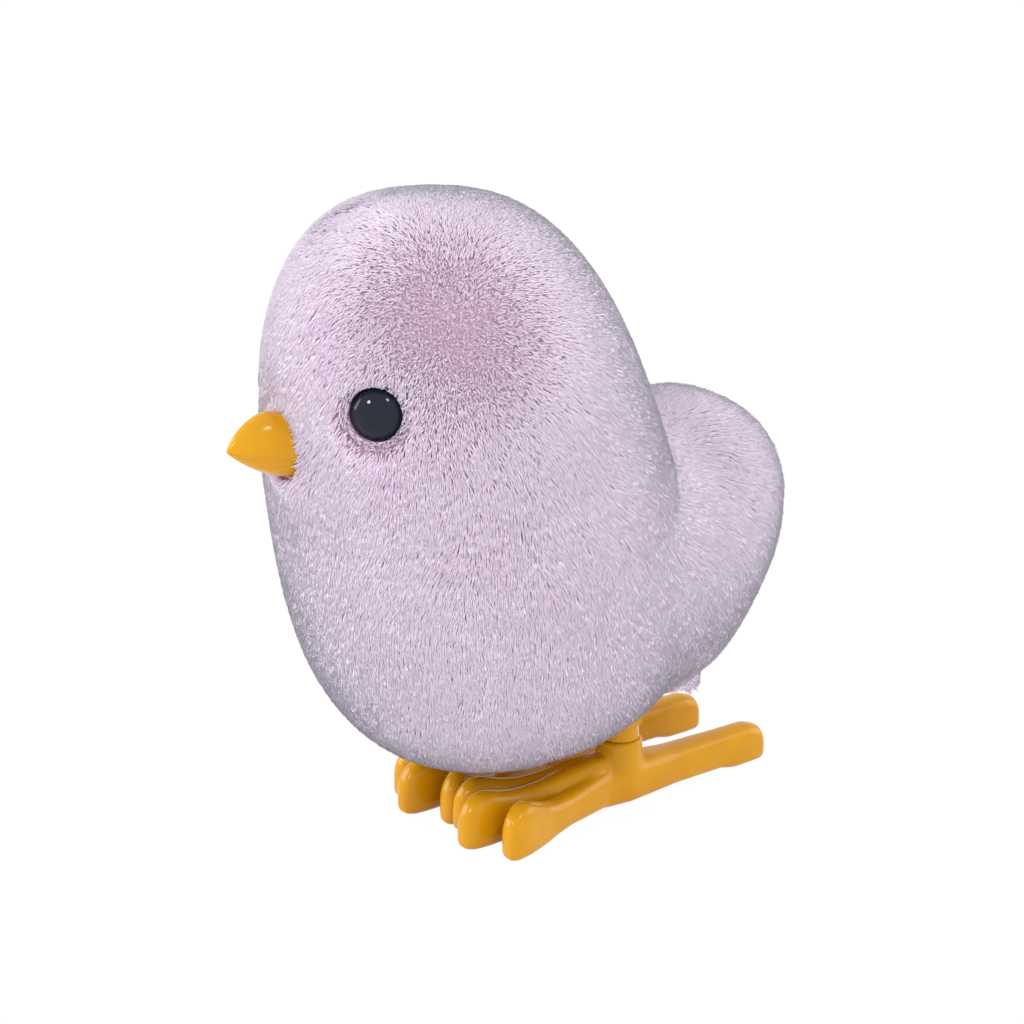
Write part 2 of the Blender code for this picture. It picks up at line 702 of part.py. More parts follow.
def case_boss_places():
    """Screw bosses in the corners of the case: beside the great gear, above the verge, below the crank gear."""
    room = GEAR_CLEARANCE + CASE_BOSS_RADIUS
    reaches = (tip_radius(GREAT_TEETH) + room, VERGE_ARM * 2 + room, tip_radius(CRANK_TEETH) + room)
    centres = (GREAT_AT, VERGE_AT, CRANK_AT)
    return [along(c, b, r) for c, b, r in zip(centres, CASE_BOSS_BEARINGS, reaches)]


def add_motor_case():
    """Two halves of the case that hold every shaft, with guide pins for the legs and lugs for the base screws."""
    room = GEAR_CLEARANCE
    inside = [
        (GREAT_AT, tip_radius(GREAT_TEETH) + room),
        (CRANK_AT, tip_radius(CRANK_TEETH) + room),
        (IDLER_AT, tip_radius(IDLER_TEETH) + room),
        (ESCAPE_AT, ESCAPE_RADIUS + VERGE_SWING_ROOM + VERGE_ARM + room * 2),
        (VERGE_AT, VERGE_ARM * 2 + room),
    ]
    outside = [(centre, radius + CASE_WALL) for centre, radius in inside]
    bosses = case_boss_places()
    outside += [(place, CASE_BOSS_RADIUS) for place in bosses]
    floor_room = CASE_HALF_WIDTH - CASE_WALL
    cavity = helper("case_cavity", hull_mesh("case_cavity", inside, -floor_room, floor_room), CHICK)
    for i, place in enumerate(bosses):
        rod = rod_mesh("case_boss", CASE_BOSS_RADIUS, -CASE_HALF_WIDTH, CASE_HALF_WIDTH)
        cut(cavity, helper(f"case_boss_{i}", rod, CHICK, (0, *place)))
    halves = {}
    for name, sign, _ in SIDES:
        near, far = sorted((sign * CASE_SPLIT, sign * CASE_HALF_WIDTH))
        half = part(f"motor_case_{name}", hull_mesh(f"motor_case_{name}", outside, near, far), CHICK)
        cut(half, cavity)
        guide = sorted((sign * (CASE_HALF_WIDTH - CASE_WALL / 2), sign * CRANK_PIN_END))
        guide_at = (CRANK_AT[0], CRANK_AT[1] + LEG_EYE_HEIGHT)
        pin = rod_mesh("guide_pin", GUIDE_PIN_RADIUS, *guide)
        join(half, helper(f"guide_pin_{name}", pin, CHICK, (0, *guide_at)))
        edges = sorted((sign * (CASE_HALF_WIDTH - CASE_WALL / 2), sign * (LUG_X + LUG_SIZE / 2)))
        lug = box_mesh(
            "lug",
            (edges[0], LUG_Y - LUG_SIZE / 2, CASE_BOTTOM),
            (edges[1], LUG_Y + LUG_SIZE / 2, CASE_BOTTOM + LUG_SIZE * 1.3),
        )
        join(half, helper(f"lug_{name}", lug, CHICK))
        halves[name] = half
        finish(half, GREY_PLASTIC, 0.5)

    wide = CASE_HALF_WIDTH + CASE_WALL
    bearings = (
        ("arbor", GREAT_AT, ARBOR_RADIUS),
        ("idler", IDLER_AT, AXLE_RADIUS),
        ("crank", CRANK_AT, CRANK_SHAFT_RADIUS),
        ("escape", ESCAPE_AT, AXLE_RADIUS),
        ("verge", VERGE_AT, AXLE_RADIUS),
    )
    for name, place, radius in bearings:
        rod = rod_mesh("bearing", radius + RUNNING_GAP, -wide, wide)
        hole = helper(f"{name}_bearing", rod, CHICK, (0, *place))
        cut(halves["left"], hole)
        cut(halves["right"], hole)

    shank = CASE_HALF_WIDTH + SCREW_GRIP
    outward = Matrix.Rotation(math.radians(-90), 4, "Y")
    for i, place in enumerate(bosses):
        seat = (-CASE_HALF_WIDTH - SEAT_GAP, *place)
        screw = part(f"case_screw_{i + 1}", screw_mesh("case_screw", shank, outward), CHICK, seat)
        finish(screw, STEEL, 0.3, 1.0)
        hole = screw_hole_mesh("case_screw_hole", shank, outward, SCREW_HEAD * 2)
        hole = helper(f"case_screw_hole_{i + 1}", hole, CHICK, seat)
        cut(halves["left"], hole)
        cut(halves["right"], hole)
    return halves


def gear_outline(teeth, bearing, gap=False):
    """Trapezoid teeth, with a tooth on the given bearing, or a gap there."""
    step = math.tau / teeth
    tip = tip_radius(teeth)
    root = pitch_radius(teeth) - DEDENDUM * MODULE
    flank = ((root, -TOOTH_ROOT_SHARE), (tip, -TOOTH_TIP_SHARE), (tip, TOOTH_TIP_SHARE), (root, TOOTH_ROOT_SHARE))
    start = bearing + (step / 2 if gap else 0.0)
    turns = [(radius, start + step * (i + share)) for i in range(teeth) for radius, share in flank]
    return [along((0, 0), angle, radius) for radius, angle in turns]


def add_gear(name, axis, layers, bore, colour):
    """Gears of one cluster: each layer is (outline, centre x, thickness), and the first is the main one."""
    outline, middle, thickness = layers[0]
    gear = part(name, plate_mesh(name, [outline], thickness), axis, (middle, 0, 0))
    for i, (outline, middle, thickness) in enumerate(layers[1:]):
        layer = plate_mesh(f"{name}_layer", [outline], thickness)
        join(gear, helper(f"{name}_layer_{i}", layer, axis, (middle, 0, 0)))
    rod = rod_mesh(f"{name}_bore", bore, -CASE_HALF_WIDTH, CASE_HALF_WIDTH)
    cut(gear, helper(f"{name}_bore", rod, axis))
    finish(gear, colour, 0.45)
    return gear


def spanning(first, second):
    """Centre and thickness of a pinion in one layer that reaches into the gear of another."""
    low, high = sorted((first, second))
    overlap = GEAR_THICKNESS / 2
    start = low - overlap if first == low else low
    end = high + overlap if first == high else high
    return (start + end) / 2, end - start


def bearing_of(start, end):
    return math.atan2(end[1] - start[1], end[0] - start[0])


def add_gear_train():
    """Great gear, idler, crank gear and escape wheel, in mesh, with the axles they turn on."""
    great = [(gear_outline(GREAT_TEETH, bearing_of(GREAT_AT, IDLER_AT)), GREAT_GEAR_X, GEAR_THICKNESS)]
    gear = add_gear("great_gear", GREAT_AXIS, great, ARBOR_RADIUS + RUNNING_GAP, CREAM_NYLON)
    stud = rod_mesh("click_stud", AXLE_RADIUS, GREAT_GEAR_X, RATCHET_X + GEAR_THICKNESS / 2)
    join(gear, helper("click_stud", stud, CLICK_AXIS))

    pinion = gear_outline(IDLER_PINION_TEETH, bearing_of(IDLER_AT, GREAT_AT), gap=True)
    wheel = gear_outline(IDLER_TEETH, bearing_of(IDLER_AT, CRANK_AT))
    layers = [(wheel, IDLER_GEAR_X, GEAR_THICKNESS), (pinion, *spanning(GREAT_GEAR_X, IDLER_GEAR_X))]
    add_gear("idler_gear", IDLER_AXIS, layers, AXLE_RADIUS + RUNNING_GAP, CREAM_NYLON)

    pinion = gear_outline(CRANK_PINION_TEETH, bearing_of(CRANK_AT, IDLER_AT), gap=True)
    wheel = gear_outline(CRANK_TEETH, bearing_of(CRANK_AT, ESCAPE_AT))
    layers = [(wheel, CRANK_GEAR_X, GEAR_THICKNESS), (pinion, *spanning(IDLER_GEAR_X, CRANK_GEAR_X))]
    add_gear("crank_gear", CRANK_AXIS, layers, CRANK_SHAFT_RADIUS + RUNNING_GAP, CREAM_NYLON)

    pinion = gear_outline(ESCAPE_PINION_TEETH, bearing_of(ESCAPE_AT, CRANK_AT), gap=True)
    star = []
    for i in range(ESCAPE_POINTS):
        step = math.tau / ESCAPE_POINTS
        star.append(along((0, 0), step * i, ESCAPE_RADIUS))
        star.append(along((0, 0), step * (i + 0.5), ESCAPE_RADIUS - ESCAPE_TOOTH))
    layers = [(star, RATCHET_X, GEAR_THICKNESS), (pinion, *spanning(CRANK_GEAR_X, RATCHET_X))]
    add_gear("escape_wheel", ESCAPE_AXIS, layers, AXLE_RADIUS + RUNNING_GAP, CREAM_NYLON)

    for name, place in (("idler_axle", IDLER_AT), ("escape_axle", ESCAPE_AT), ("verge_pin", VERGE_AT)):
        rod = rod_mesh(name, AXLE_RADIUS, -CASE_HALF_WIDTH, CASE_HALF_WIDTH)
        finish(part(name, rod, CHICK, (0, *place)), STEEL, 0.25, 1.0)


def add_verge():
    """An anchor that straddles the escape wheel and rocks on its pin, just clear of the wheel's points."""
    clear = ESCAPE_RADIUS + VERGE_SWING_ROOM
    centre = (0, -VERGE_RISE)
    steps = 8
    turns = [math.pi / 2 + VERGE_REACH * (1 - 2 * i / steps) for i in range(steps + 1)]
    outline = [along(centre, a, clear + VERGE_ARM) for a in turns]
    outline += [along(centre, a, clear) for a in reversed(turns)]
    verge = part("verge", plate_mesh("verge", [outline], GEAR_THICKNESS), VERGE_AXIS, (RATCHET_X, 0, 0))
    hub = rod_mesh("verge_hub", VERGE_ARM * 1.6, -GEAR_THICKNESS / 2, GEAR_THICKNESS / 2)
    join(verge, helper("verge_hub", hub, VERGE_AXIS, (RATCHET_X, 0, 0)))
    bore = rod_mesh("verge_bore", AXLE_RADIUS + RUNNING_GAP, -CASE_HALF_WIDTH, CASE_HALF_WIDTH)
    cut(verge, helper("verge_bore", bore, VERGE_AXIS))
    finish(verge, BRASS, 0.3, 1.0)


def add_winder(plush, shells):
    """Knob, arbor, ratchet wheel, click and mainspring."""
    side = max(body_point(math.radians(a), math.pi).x * -1 for a in range(60, 121, 5))
    knob_inside = -side - KNOB_STANDOFF
    knob_middle = knob_inside - KNOB_THICKNESS / 2
    end = knob_inside - KNOB_THICKNESS * 0.7
    arbor = rod_mesh("spring_arbor", ARBOR_RADIUS, end, CASE_HALF_WIDTH)
    finish(part("spring_arbor", arbor, WINDER_AXIS), STEEL, 0.25, 1.0)

    ribs = KNOB_RIBS * 4
    turns = [math.tau * i / ribs for i in range(ribs)]
    outline = [along((0, 0), a, KNOB_RADIUS + KNOB_RIB_DEPTH * math.cos(KNOB_RIBS * a)) for a in turns]
    knob = part(
        "winding_knob", plate_mesh("winding_knob", [outline], KNOB_THICKNESS), WINDER_AXIS, (knob_middle, 0, 0)
    )
    hub = rod_mesh("knob_hub", KNOB_HUB_RADIUS, knob_middle, knob_inside + KNOB_STANDOFF * 0.7)
    join(knob, helper("knob_hub", hub, WINDER_AXIS))
    socket = rod_mesh("knob_socket", ARBOR_RADIUS + RUNNING_GAP, end - SEAT_GAP, 0)
    cut(knob, helper("knob_socket", socket, WINDER_AXIS))
    finish(knob, ORANGE, 0.3)

    passage = rod_mesh("arbor_passage", ARBOR_RADIUS + SEAT_GAP * 2, knob_inside, 0)
    passage = helper("arbor_passage", passage, WINDER_AXIS)
    cut(plush, passage)
    cut(shells["right"], passage)

    teeth = []
    for i in range(RATCHET_TEETH):
        step = math.tau / RATCHET_TEETH
        teeth.append(along((0, 0), step * i, RATCHET_RADIUS - RATCHET_TOOTH))
        teeth.append(along((0, 0), step * i, RATCHET_RADIUS))
        teeth.append(along((0, 0), step * (i + 0.5), RATCHET_RADIUS - RATCHET_TOOTH / 2))
    add_gear(
        "ratchet_wheel", WINDER_AXIS, [(teeth, RATCHET_X, GEAR_THICKNESS)], ARBOR_RADIUS + RUNNING_GAP, BRASS
    )

    nose = RATCHET_RADIUS + SEAT_GAP - CLICK_PIVOT_RADIUS
    tip = (CLICK_HALF_WIDTH * 2.6, nose + CLICK_HALF_WIDTH * 0.9)
    circles = [((0, 0), CLICK_HALF_WIDTH * 1.7), (tip, CLICK_HALF_WIDTH * 0.5)]
    half = GEAR_THICKNESS / 2
    click = part("click", hull_mesh("click", circles, RATCHET_X - half, RATCHET_X + half), CLICK_AXIS)
    bore = rod_mesh("click_bore", AXLE_RADIUS + RUNNING_GAP, -CASE_HALF_WIDTH, CASE_HALF_WIDTH)
    cut(click, helper("click_bore", bore, CLICK_AXIS))
    finish(click, BRASS, 0.3, 1.0)

    points = ROUND * SPRING_TURNS
    start = ARBOR_RADIUS + SEAT_GAP + SPRING_STRIP / 2
    stop = tip_radius(GREAT_TEETH) - SPRING_STRIP
    path = [(start + (stop - start) * i / points, math.tau * SPRING_TURNS * i / points) for i in range(points + 1)]
    outline = [along((0, 0), angle, radius + SPRING_STRIP / 2) for radius, angle in path]
    outline += [along((0, 0), angle, radius - SPRING_STRIP / 2) for radius, angle in reversed(path)]
    spring = part("mainspring", plate_mesh("mainspring", [outline], SPRING_WIDTH), WINDER_AXIS, (SPRING_X, 0, 0))
    finish(spring, SPRING_STEEL, 0.3, 1.0)


def add_cranks():
    """The crank shaft with a crank and a clip at each end. Both pins stand on the same side, so both legs hop."""
    reach = CRANK_X + CRANK_THICKNESS / 2
    finish(part("crank_shaft", rod_mesh("crank_shaft", CRANK_SHAFT_RADIUS, -reach, reach), CRANK_AXIS), STEEL, 0.25, 1.0)
    for name, sign, axis in SIDES:
        near, far = sorted((sign * (CRANK_X - CRANK_THICKNESS / 2), sign * (CRANK_X + CRANK_THICKNESS / 2)))
        crank = part(f"{name}_crank", rod_mesh(f"{name}_crank", CRANK_RADIUS, near, far, FINE_ROUND), CRANK_AXIS)
        span = sorted((sign * CRANK_X, sign * CRANK_PIN_END))
        join(crank, helper(f"{name}_crank_pin", rod_mesh("crank_pin", CRANK_PIN_RADIUS, *span), axis))
        bore = rod_mesh("crank_bore", CRANK_SHAFT_RADIUS + RUNNING_GAP, -reach - SEAT_GAP, reach + SEAT_GAP)
        cut(crank, helper(f"{name}_crank_bore", bore, CRANK_AXIS))
        finish(crank, GREY_PLASTIC, 0.4)
        low, high = sorted((sign * (CLIP_X - CLIP_THICKNESS / 2), sign * (CLIP_X + CLIP_THICKNESS / 2)))
        clip = ring_mesh(f"{name}_pin_clip", CLIP_RADIUS, CRANK_PIN_RADIUS + RUNNING_GAP, low, high)
        finish(part(f"{name}_pin_clip", clip, axis), STEEL, 0.3, 1.0)


def foot_ring(across, along_y, half_width, bottom, top):
    """One section of a foot: flat below with small chamfers, rounded above."""
    middle = bottom + (top - bottom) * 0.45
    edge = min(SOLE_CHAMFER, half_width * 0.4, (middle - bottom) * 0.6)
    arc = [math.pi * i / FOOT_ARC for i in range(FOOT_ARC + 1)]
    points = [(half_width - edge, bottom), (half_width, bottom + edge)]
    points += [(half_width * power(math.cos(a), 0.7), middle + (top - middle) * math.sin(a) ** 0.7) for a in arc]
    points += [(-half_width, bottom + edge), (-half_width + edge, bottom)]
    return [(across + x, along_y, z) for x, z in points]


def toe_mesh(name, spread, tip_y, lift):
    """A toe: its root is lifted off the floor, its waist is low, and its tip is a tall round bulb."""
    length = TOE_ROOT_Y - tip_y
    stations = (
        (0.00, 1.10, INSTEP_HEIGHT * 0.9, lift),
        (0.25, 1.05, TOE_WAIST_HEIGHT * 1.1, lift),
        (0.48, 1.00, TOE_WAIST_HEIGHT, lift),
        (0.64, 0.95, TOE_WAIST_HEIGHT, lift * 0.5),
        (0.74, 1.00, TOE_HEIGHT * 0.82, 0.0),
        (0.83, 1.05, TOE_HEIGHT, 0.0),
        (0.93, 1.00, TOE_HEIGHT * 0.93, 0.0),
        (0.98, 0.80, TOE_HEIGHT * 0.74, TOE_HEIGHT * 0.03),
        (1.00, 0.50, TOE_HEIGHT * 0.52, TOE_HEIGHT * 0.10),
    )
    rings = [
        foot_ring(spread * share, TOE_ROOT_Y - length * share, TOE_HALF_WIDTH * width, bottom, top)
        for share, width, top, bottom in stations
    ]
    return loft_mesh(name, rings)


def heel_mesh(name):
    """The bar from the toes' root past the ankle to the heel, arched below."""
    length = HEEL_END_Y - BAR_FRONT_Y
    stations = (
        (0.00, 0.75, TOE_WAIST_HEIGHT, ARCH_LIFT),
        (0.20, 1.15, INSTEP_HEIGHT * 0.85, ARCH_LIFT),
        (0.34, 1.20, INSTEP_HEIGHT, ARCH_LIFT),
        (0.55, 1.00, INSTEP_HEIGHT * 0.92, ARCH_LIFT),
        (0.78, 0.90, HEEL_HEIGHT, ARCH_LIFT * 0.8),
        (0.84, 0.92, HEEL_HEIGHT, 0.0),
        (0.93, 0.90, HEEL_HEIGHT, 0.0),
        (0.98, 0.84, HEEL_HEIGHT * 0.88, 0.0),
        (1.00, 0.62, HEEL_HEIGHT * 0.66, 0.0),
    )
    rings = [
        foot_ring(0.0, BAR_FRONT_Y + length * share, HEEL_HALF_WIDTH * width, bottom, top)
        for share, width, top, bottom in stations
    ]
    return loft_mesh(name, rings)


def web_mesh(name):
    """The web that fills the corners between the toes, from their root to where their bulbs begin."""
    length = TOE_ROOT_Y - TOE_TIP_Y
    middle = (LEFT_TOE_SPREAD - RIGHT_TOE_SPREAD) / 2
    reach = (LEFT_TOE_SPREAD + RIGHT_TOE_SPREAD) / 2
    rings = [
        foot_ring(middle * share, TOE_ROOT_Y - length * share, reach * share + TOE_HALF_WIDTH * 0.7, ARCH_LIFT * 1.2, top)
        for share, top in ((0.05, INSTEP_HEIGHT * 0.9), (0.30, WEB_HEIGHT * 1.25), (0.50, WEB_HEIGHT), (0.60, WEB_HEIGHT * 0.8))
    ]
    return loft_mesh(name, rings)


def add_legs_and_feet():
    """Each leg hangs on its crank pin and stands in its foot's ankle. Both feet come from the same mould."""
    pin_height = CRANK_AT[1] + THROW
    window = GUIDE_PIN_RADIUS + THROW + SEAT_GAP * 1.5
    for name, sign, axis in SIDES:
        foot_low = LEG_POST_TOP - LEG_POST_RADIUS * 1.5 - pin_height
        eye = (0, LEG_EYE_HEIGHT)
        turns = [math.radians(15 * i - 30) for i in range(17)]
        outline = [(LEG_HALF_WIDTH, foot_low), (LEG_HALF_WIDTH, 0)]
        outline += [along(eye, a, window + LEG_RING_WALL) for a in turns]
        outline += [(-LEG_HALF_WIDTH, 0), (-LEG_HALF_WIDTH, foot_low)]
        holes = [circle((0, 0), CRANK_PIN_RADIUS + RUNNING_GAP), circle(eye, window)]
        leg_mesh = plate_mesh(f"{name}_leg", [outline, *holes], LEG_THICKNESS)
        leg = part(f"{name}_leg", leg_mesh, axis, (sign * LEG_X, 0, 0))
        ankle = (sign * FOOT_X, ANKLE_Y - CRANK_Y, -pin_height)
        upright = Matrix()
        shoulder_far = sign * (LEG_X + LEG_THICKNESS / 2 - SEAT_GAP)
        shoulder_near = sign * (FOOT_X - LEG_POST_RADIUS * 0.5)
        low_x, high_x = sorted((shoulder_near, shoulder_far))
        shoulder = box_mesh(
            "shoulder",
            (low_x, SEAT_GAP - LEG_HALF_WIDTH, foot_low + SEAT_GAP),
            (high_x, ANKLE_Y - CRANK_Y + LEG_POST_RADIUS * 0.6, LEG_POST_TOP - pin_height),
        )
        join(leg, helper(f"{name}_shoulder", shoulder, axis))
        post = rod_mesh("leg_post", LEG_POST_RADIUS, ANKLE_TOP + SEAT_GAP, LEG_POST_TOP - SEAT_GAP, FINE_ROUND, upright)
        join(leg, helper(f"{name}_leg_post", post, axis, ankle))
        spigot = rod_mesh(
            "leg_spigot", LEG_SPIGOT_RADIUS, ANKLE_TOP - LEG_SPIGOT_DEPTH, LEG_POST_TOP - LEG_POST_RADIUS, turn=upright
        )
        join(leg, helper(f"{name}_leg_spigot", spigot, axis, ankle))
        finish(leg, ORANGE, 0.3)

        sole = (sign * FOOT_X, -CRANK_Y, -pin_height)
        foot = part(f"{name}_foot", heel_mesh(f"{name}_foot"), axis, sole)
        toes = ((-RIGHT_TOE_SPREAD, TOE_SETBACK, 1.3), (0.0, 0.0, 1.15), (LEFT_TOE_SPREAD, TOE_SETBACK, 1.45))
        for i, (spread, setback, lift) in enumerate(toes):
            toe = toe_mesh("toe", spread, TOE_TIP_Y + setback, ARCH_LIFT * lift)
            join(foot, helper(f"{name}_toe_{i}", toe, axis, sole))
        join(foot, helper(f"{name}_web", web_mesh("web"), axis, sole))
        boss = rod_mesh("ankle", ANKLE_RADIUS, ARCH_LIFT + SOLE_CHAMFER, ANKLE_TOP, FINE_ROUND, upright)
        join(foot, helper(f"{name}_ankle", boss, axis, ankle))
        deep = ANKLE_TOP - LEG_SPIGOT_DEPTH - SEAT_GAP
        socket = rod_mesh("ankle_socket", LEG_SPIGOT_RADIUS + RUNNING_GAP, deep, ANKLE_TOP * 2, turn=upright)
        cut(foot, helper(f"{name}_ankle_socket", socket, axis, ankle))
        finish(foot, ORANGE, 0.25)


def centre_on_origin():
    """Moves the chick's frame so that the middle of its outline, seen from above, is over the origin."""
    bpy.context.view_layer.update()
    graph = bpy.context.evaluated_depsgraph_get()
    corners = []
    for obj in PARTS.objects:
        if obj.type == "MESH":
            shown = obj.evaluated_get(graph)
            corners += [shown.matrix_world @ Vector(corner) for corner in shown.bound_box]
    low = [min(corner[i] for corner in corners) for i in range(3)]
    high = [max(corner[i] for corner in corners) for i in range(3)]
    CHICK.location = (-(low[0] + high[0]) / 2, -(low[1] + high[1]) / 2, -low[2])


def main():
    plush = add_plush_and_former()
    shells = {"left": PARTS.objects["shell_left"], "right": PARTS.objects["shell_right"]}
    add_face(plush, shells)
    plate = add_base_plate()
    cases = add_motor_case()
    holders = {("case", name): half for name, half in cases.items()}
    holders.update({("shell", name): half for name, half in shells.items()})
    add_base_screws(plate, holders)
    add_gear_train()
    add_verge()
    add_winder(plush, shells)
    add_cranks()
    add_legs_and_feet()
    centre_on_origin()


main()
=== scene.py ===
"""Looks of a plush wind-up chick, laid out as a Blender add-on and run as a script.

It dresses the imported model: standing pile on body and rump, domed eyes, a beak of two halves,
moulded feet, a ribbed winding knob, and a finish for every piece inside.
Units are metres, +Z is up, the chick faces -Y.
"""

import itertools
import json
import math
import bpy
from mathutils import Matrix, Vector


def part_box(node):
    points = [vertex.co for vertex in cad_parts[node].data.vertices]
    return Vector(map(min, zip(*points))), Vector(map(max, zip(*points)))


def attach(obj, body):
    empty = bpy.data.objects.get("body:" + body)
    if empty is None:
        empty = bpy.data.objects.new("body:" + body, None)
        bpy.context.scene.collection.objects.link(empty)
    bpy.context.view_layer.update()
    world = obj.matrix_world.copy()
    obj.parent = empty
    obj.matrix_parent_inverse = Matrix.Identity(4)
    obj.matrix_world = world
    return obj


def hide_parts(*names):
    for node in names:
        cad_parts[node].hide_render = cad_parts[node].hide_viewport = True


bl_info = {
    "name": "Plush wind-up chick",
    "version": (1, 0, 0),
    "blender": (4, 5, 0),
    "location": "View3D > Sidebar > Chick",
    "description": "Builds the visible pieces and finishes of a plush wind-up chick",
    "category": "Add Mesh",
}

import bpy
import numpy as np
from bpy.props import FloatProperty, FloatVectorProperty, IntProperty, PointerProperty
from bpy.types import Operator, Panel, PropertyGroup
from mathutils import Vector

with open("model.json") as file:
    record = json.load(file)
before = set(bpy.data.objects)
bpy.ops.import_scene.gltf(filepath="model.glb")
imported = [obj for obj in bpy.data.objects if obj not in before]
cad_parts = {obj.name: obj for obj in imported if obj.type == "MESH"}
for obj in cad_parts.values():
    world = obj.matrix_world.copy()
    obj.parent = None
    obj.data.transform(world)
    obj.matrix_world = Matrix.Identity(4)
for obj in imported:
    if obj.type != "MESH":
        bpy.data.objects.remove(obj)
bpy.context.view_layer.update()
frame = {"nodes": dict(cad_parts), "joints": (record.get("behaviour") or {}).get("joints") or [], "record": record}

# The chick's own origin in the row frame, found from the crank shaft
CRANK_Y = 0.0070
JOINTS = {joint["name"]: joint["pos_m"] for joint in frame["joints"]}
ORIGIN = np.array((JOINTS["drive"][0], JOINTS["drive"][1] - CRANK_Y, 0.0))
WINDER = np.array(JOINTS["winding"])

# Plush head and body: one egg that leans forward, full in its sides
BODY_BOTTOM = 0.0122
BODY_HALF = np.array((0.0265, 0.0309, 0.0428))
BODY_CENTRE_Y = -0.0040
BODY_LEAN = 0.0106
BODY_BEND = -0.0025
BODY_EGG = 0.14
BODY_FULLNESS = 0.72
BODY_UNDERSLOPE = 0.22

# Plush rump lobe
RUMP_CENTRE = np.array((0.0, 0.0293, 0.0385))
RUMP_HALF = np.array((0.0210, 0.0162, 0.0252))
RUMP_TILT = math.radians(-31.4)
RUMP_FULLNESS = 0.85

# Width of the soft corner between body and rump: least at its ends, most half way up;
# points deeper in the other form than the hold depth stay, and a step has a limit
BLEND_LEAST = 0.0040
BLEND_MOST = 0.0150
BLEND_HEIGHT = 0.042
BLEND_SPREAD = 0.012
HOLD_DEPTH = 0.0025
MOVE_LIMIT = 0.002

# Point off the left side of the head from which the pile is brushed away;
# its mirror image serves the right side
CROWN = np.array((0.0290, -0.0203, 0.0828))
CROWN_REACH = 0.011
CROWN_MERGE = 0.012

# Opening below, through which the legs pass; its wall and the first roots lie at shares of its half sizes
OPENING_CENTRE = np.array((0.0, 0.0124))
OPENING_HALF = np.array((0.0122, 0.0113))
OPENING_SQUARENESS = 12.0
OPENING_WALL = 1.05
OPENING_ROOTS = 1.06
OPENING_TOP = 0.035
BASE_BOTTOM = 0.0215
RIM_DROP = 0.0004
LINING_RISE = 0.004
BACKING_THICKNESS = 0.0006

# Face; roots and tips of strands stay outside shares of the eye's radius and the beak's outline
EYE_POLAR = math.radians(73.1)
EYE_TURNS = {"left": math.radians(-53.5), "right": math.radians(-126.5)}
EYE_RADIUS = 0.0040
EYE_DOME = 0.0030
EYE_RIM = 0.0010
EYE_SINK = 0.0036
EYE_DIMPLE = 0.0009
EYE_DIMPLE_REACH = 0.0014
EYE_FIELD = 0.015
FACE_BACK_Y = -0.02
EYE_ROOTS = 0.94
EYE_TIPS = 0.90
BEAK_ROOTS = 0.92
BEAK_HEIGHT = 0.0647
BEAK_SINK = 0.0024
BEAK_LENGTH = 0.0088
BEAK_HALF_WIDTH = 0.0043
BEAK_HALF_HEIGHT = 0.0047
BEAK_LIP = 0.0004
BEAK_BEAD = 0.00022
BEAK_LIP_DROP = 0.0009
BEAK_TIP_RISE = 0.0014
BEAK_NOSE_START = 0.42

# Feet: one moulding, used twice
FOOT_X = 0.0079
ANKLE_Y = 0.0174
ANKLE_TOP = 0.0105
ANKLE_RADIUS = 0.0034
TOE_TIP_Y = -0.0130
TOE_SETBACKS = (0.0030, 0.0, 0.0030)
TOE_SPREADS = (-0.0054, 0.0, 0.0072)
TOE_ROOT_Y = 0.0170
TOE_CREST = (
    0.0088, 0.0084, 0.0078, 0.0070, 0.0068, 0.0070, 0.0074,
    0.0079, 0.0082, 0.0080, 0.0072, 0.0060, 0.0042,
)
TOE_EDGE = (
    0.0070, 0.0066, 0.0061, 0.0055, 0.0056, 0.0061, 0.0069,
    0.0076, 0.0080, 0.0078, 0.0070, 0.0059, 0.0041,
)
TOE_TOPS = (TOE_CREST, TOE_CREST, TOE_EDGE)
TOE_HALF_WIDTH = 0.0018
BAR_FRONT_Y = 0.0040
HEEL_END_Y = 0.0470
HEEL_HALF_WIDTH = 0.0025
ARCH_LIFT = 0.0007
TOE_LIFT = ARCH_LIFT * 1.3
SOLE_CHAMFER = 0.0006
FOOT_SWELL = 0.00022
FOOT_SMOOTHING = 12
FOOT_ROWS = 90

# Knob
KNOB_THICKNESS = 0.0050
KNOB_RIBS = 14
KNOB_RIB_HEIGHT = 0.0003
STEM_CLEAR = 0.0034

# Pile: its layout, and the lengths of the slow waves in its lie and tone
GOLDEN_ANGLE = math.pi * (3 - math.sqrt(5))
STRANDS_PER_PIECE = 48000
LIE_WAVE = 0.024
TONE_WAVE = 0.017

# Strands: spreads of their random values, and how they bend and gather, as shares
LEAN_SPREAD = (0.8, 1.2)
HEIGHT_SPREAD = (0.80, 1.10)
WIDTH_SPREAD = (0.8, 1.25)
STRAY = 0.35
TWIST = 0.3
GATHER = 0.12
SHOULDER_RISE = 0.72
SHOULDER_DRIFT = 0.48
SHORTEST = 0.15

# Camera, lamps and floor
LENS_LENGTH = 77.74
LENS_SHIFT = (0.0120, 0.0029)
LAMP_DISTANCE = 0.75
RIGHT_SHARE = 0.55
FLOOR_REACH = 3.0
FLOOR_WHITE = 0.94

# Stands for a share or distance beyond any reach
FAR = 10.0


def length_setting(**words):
    """Setting in metres."""
    return FloatProperty(precision=5, unit="LENGTH", **words)


def angle_setting(**words):
    """Setting in radians, shown in degrees."""
    return FloatProperty(subtype="ANGLE", **words)


def colour_setting(**words):
    """Setting of three channels from 0 to 1."""
    return FloatVectorProperty(size=3, subtype="COLOR", min=0, max=1, **words)


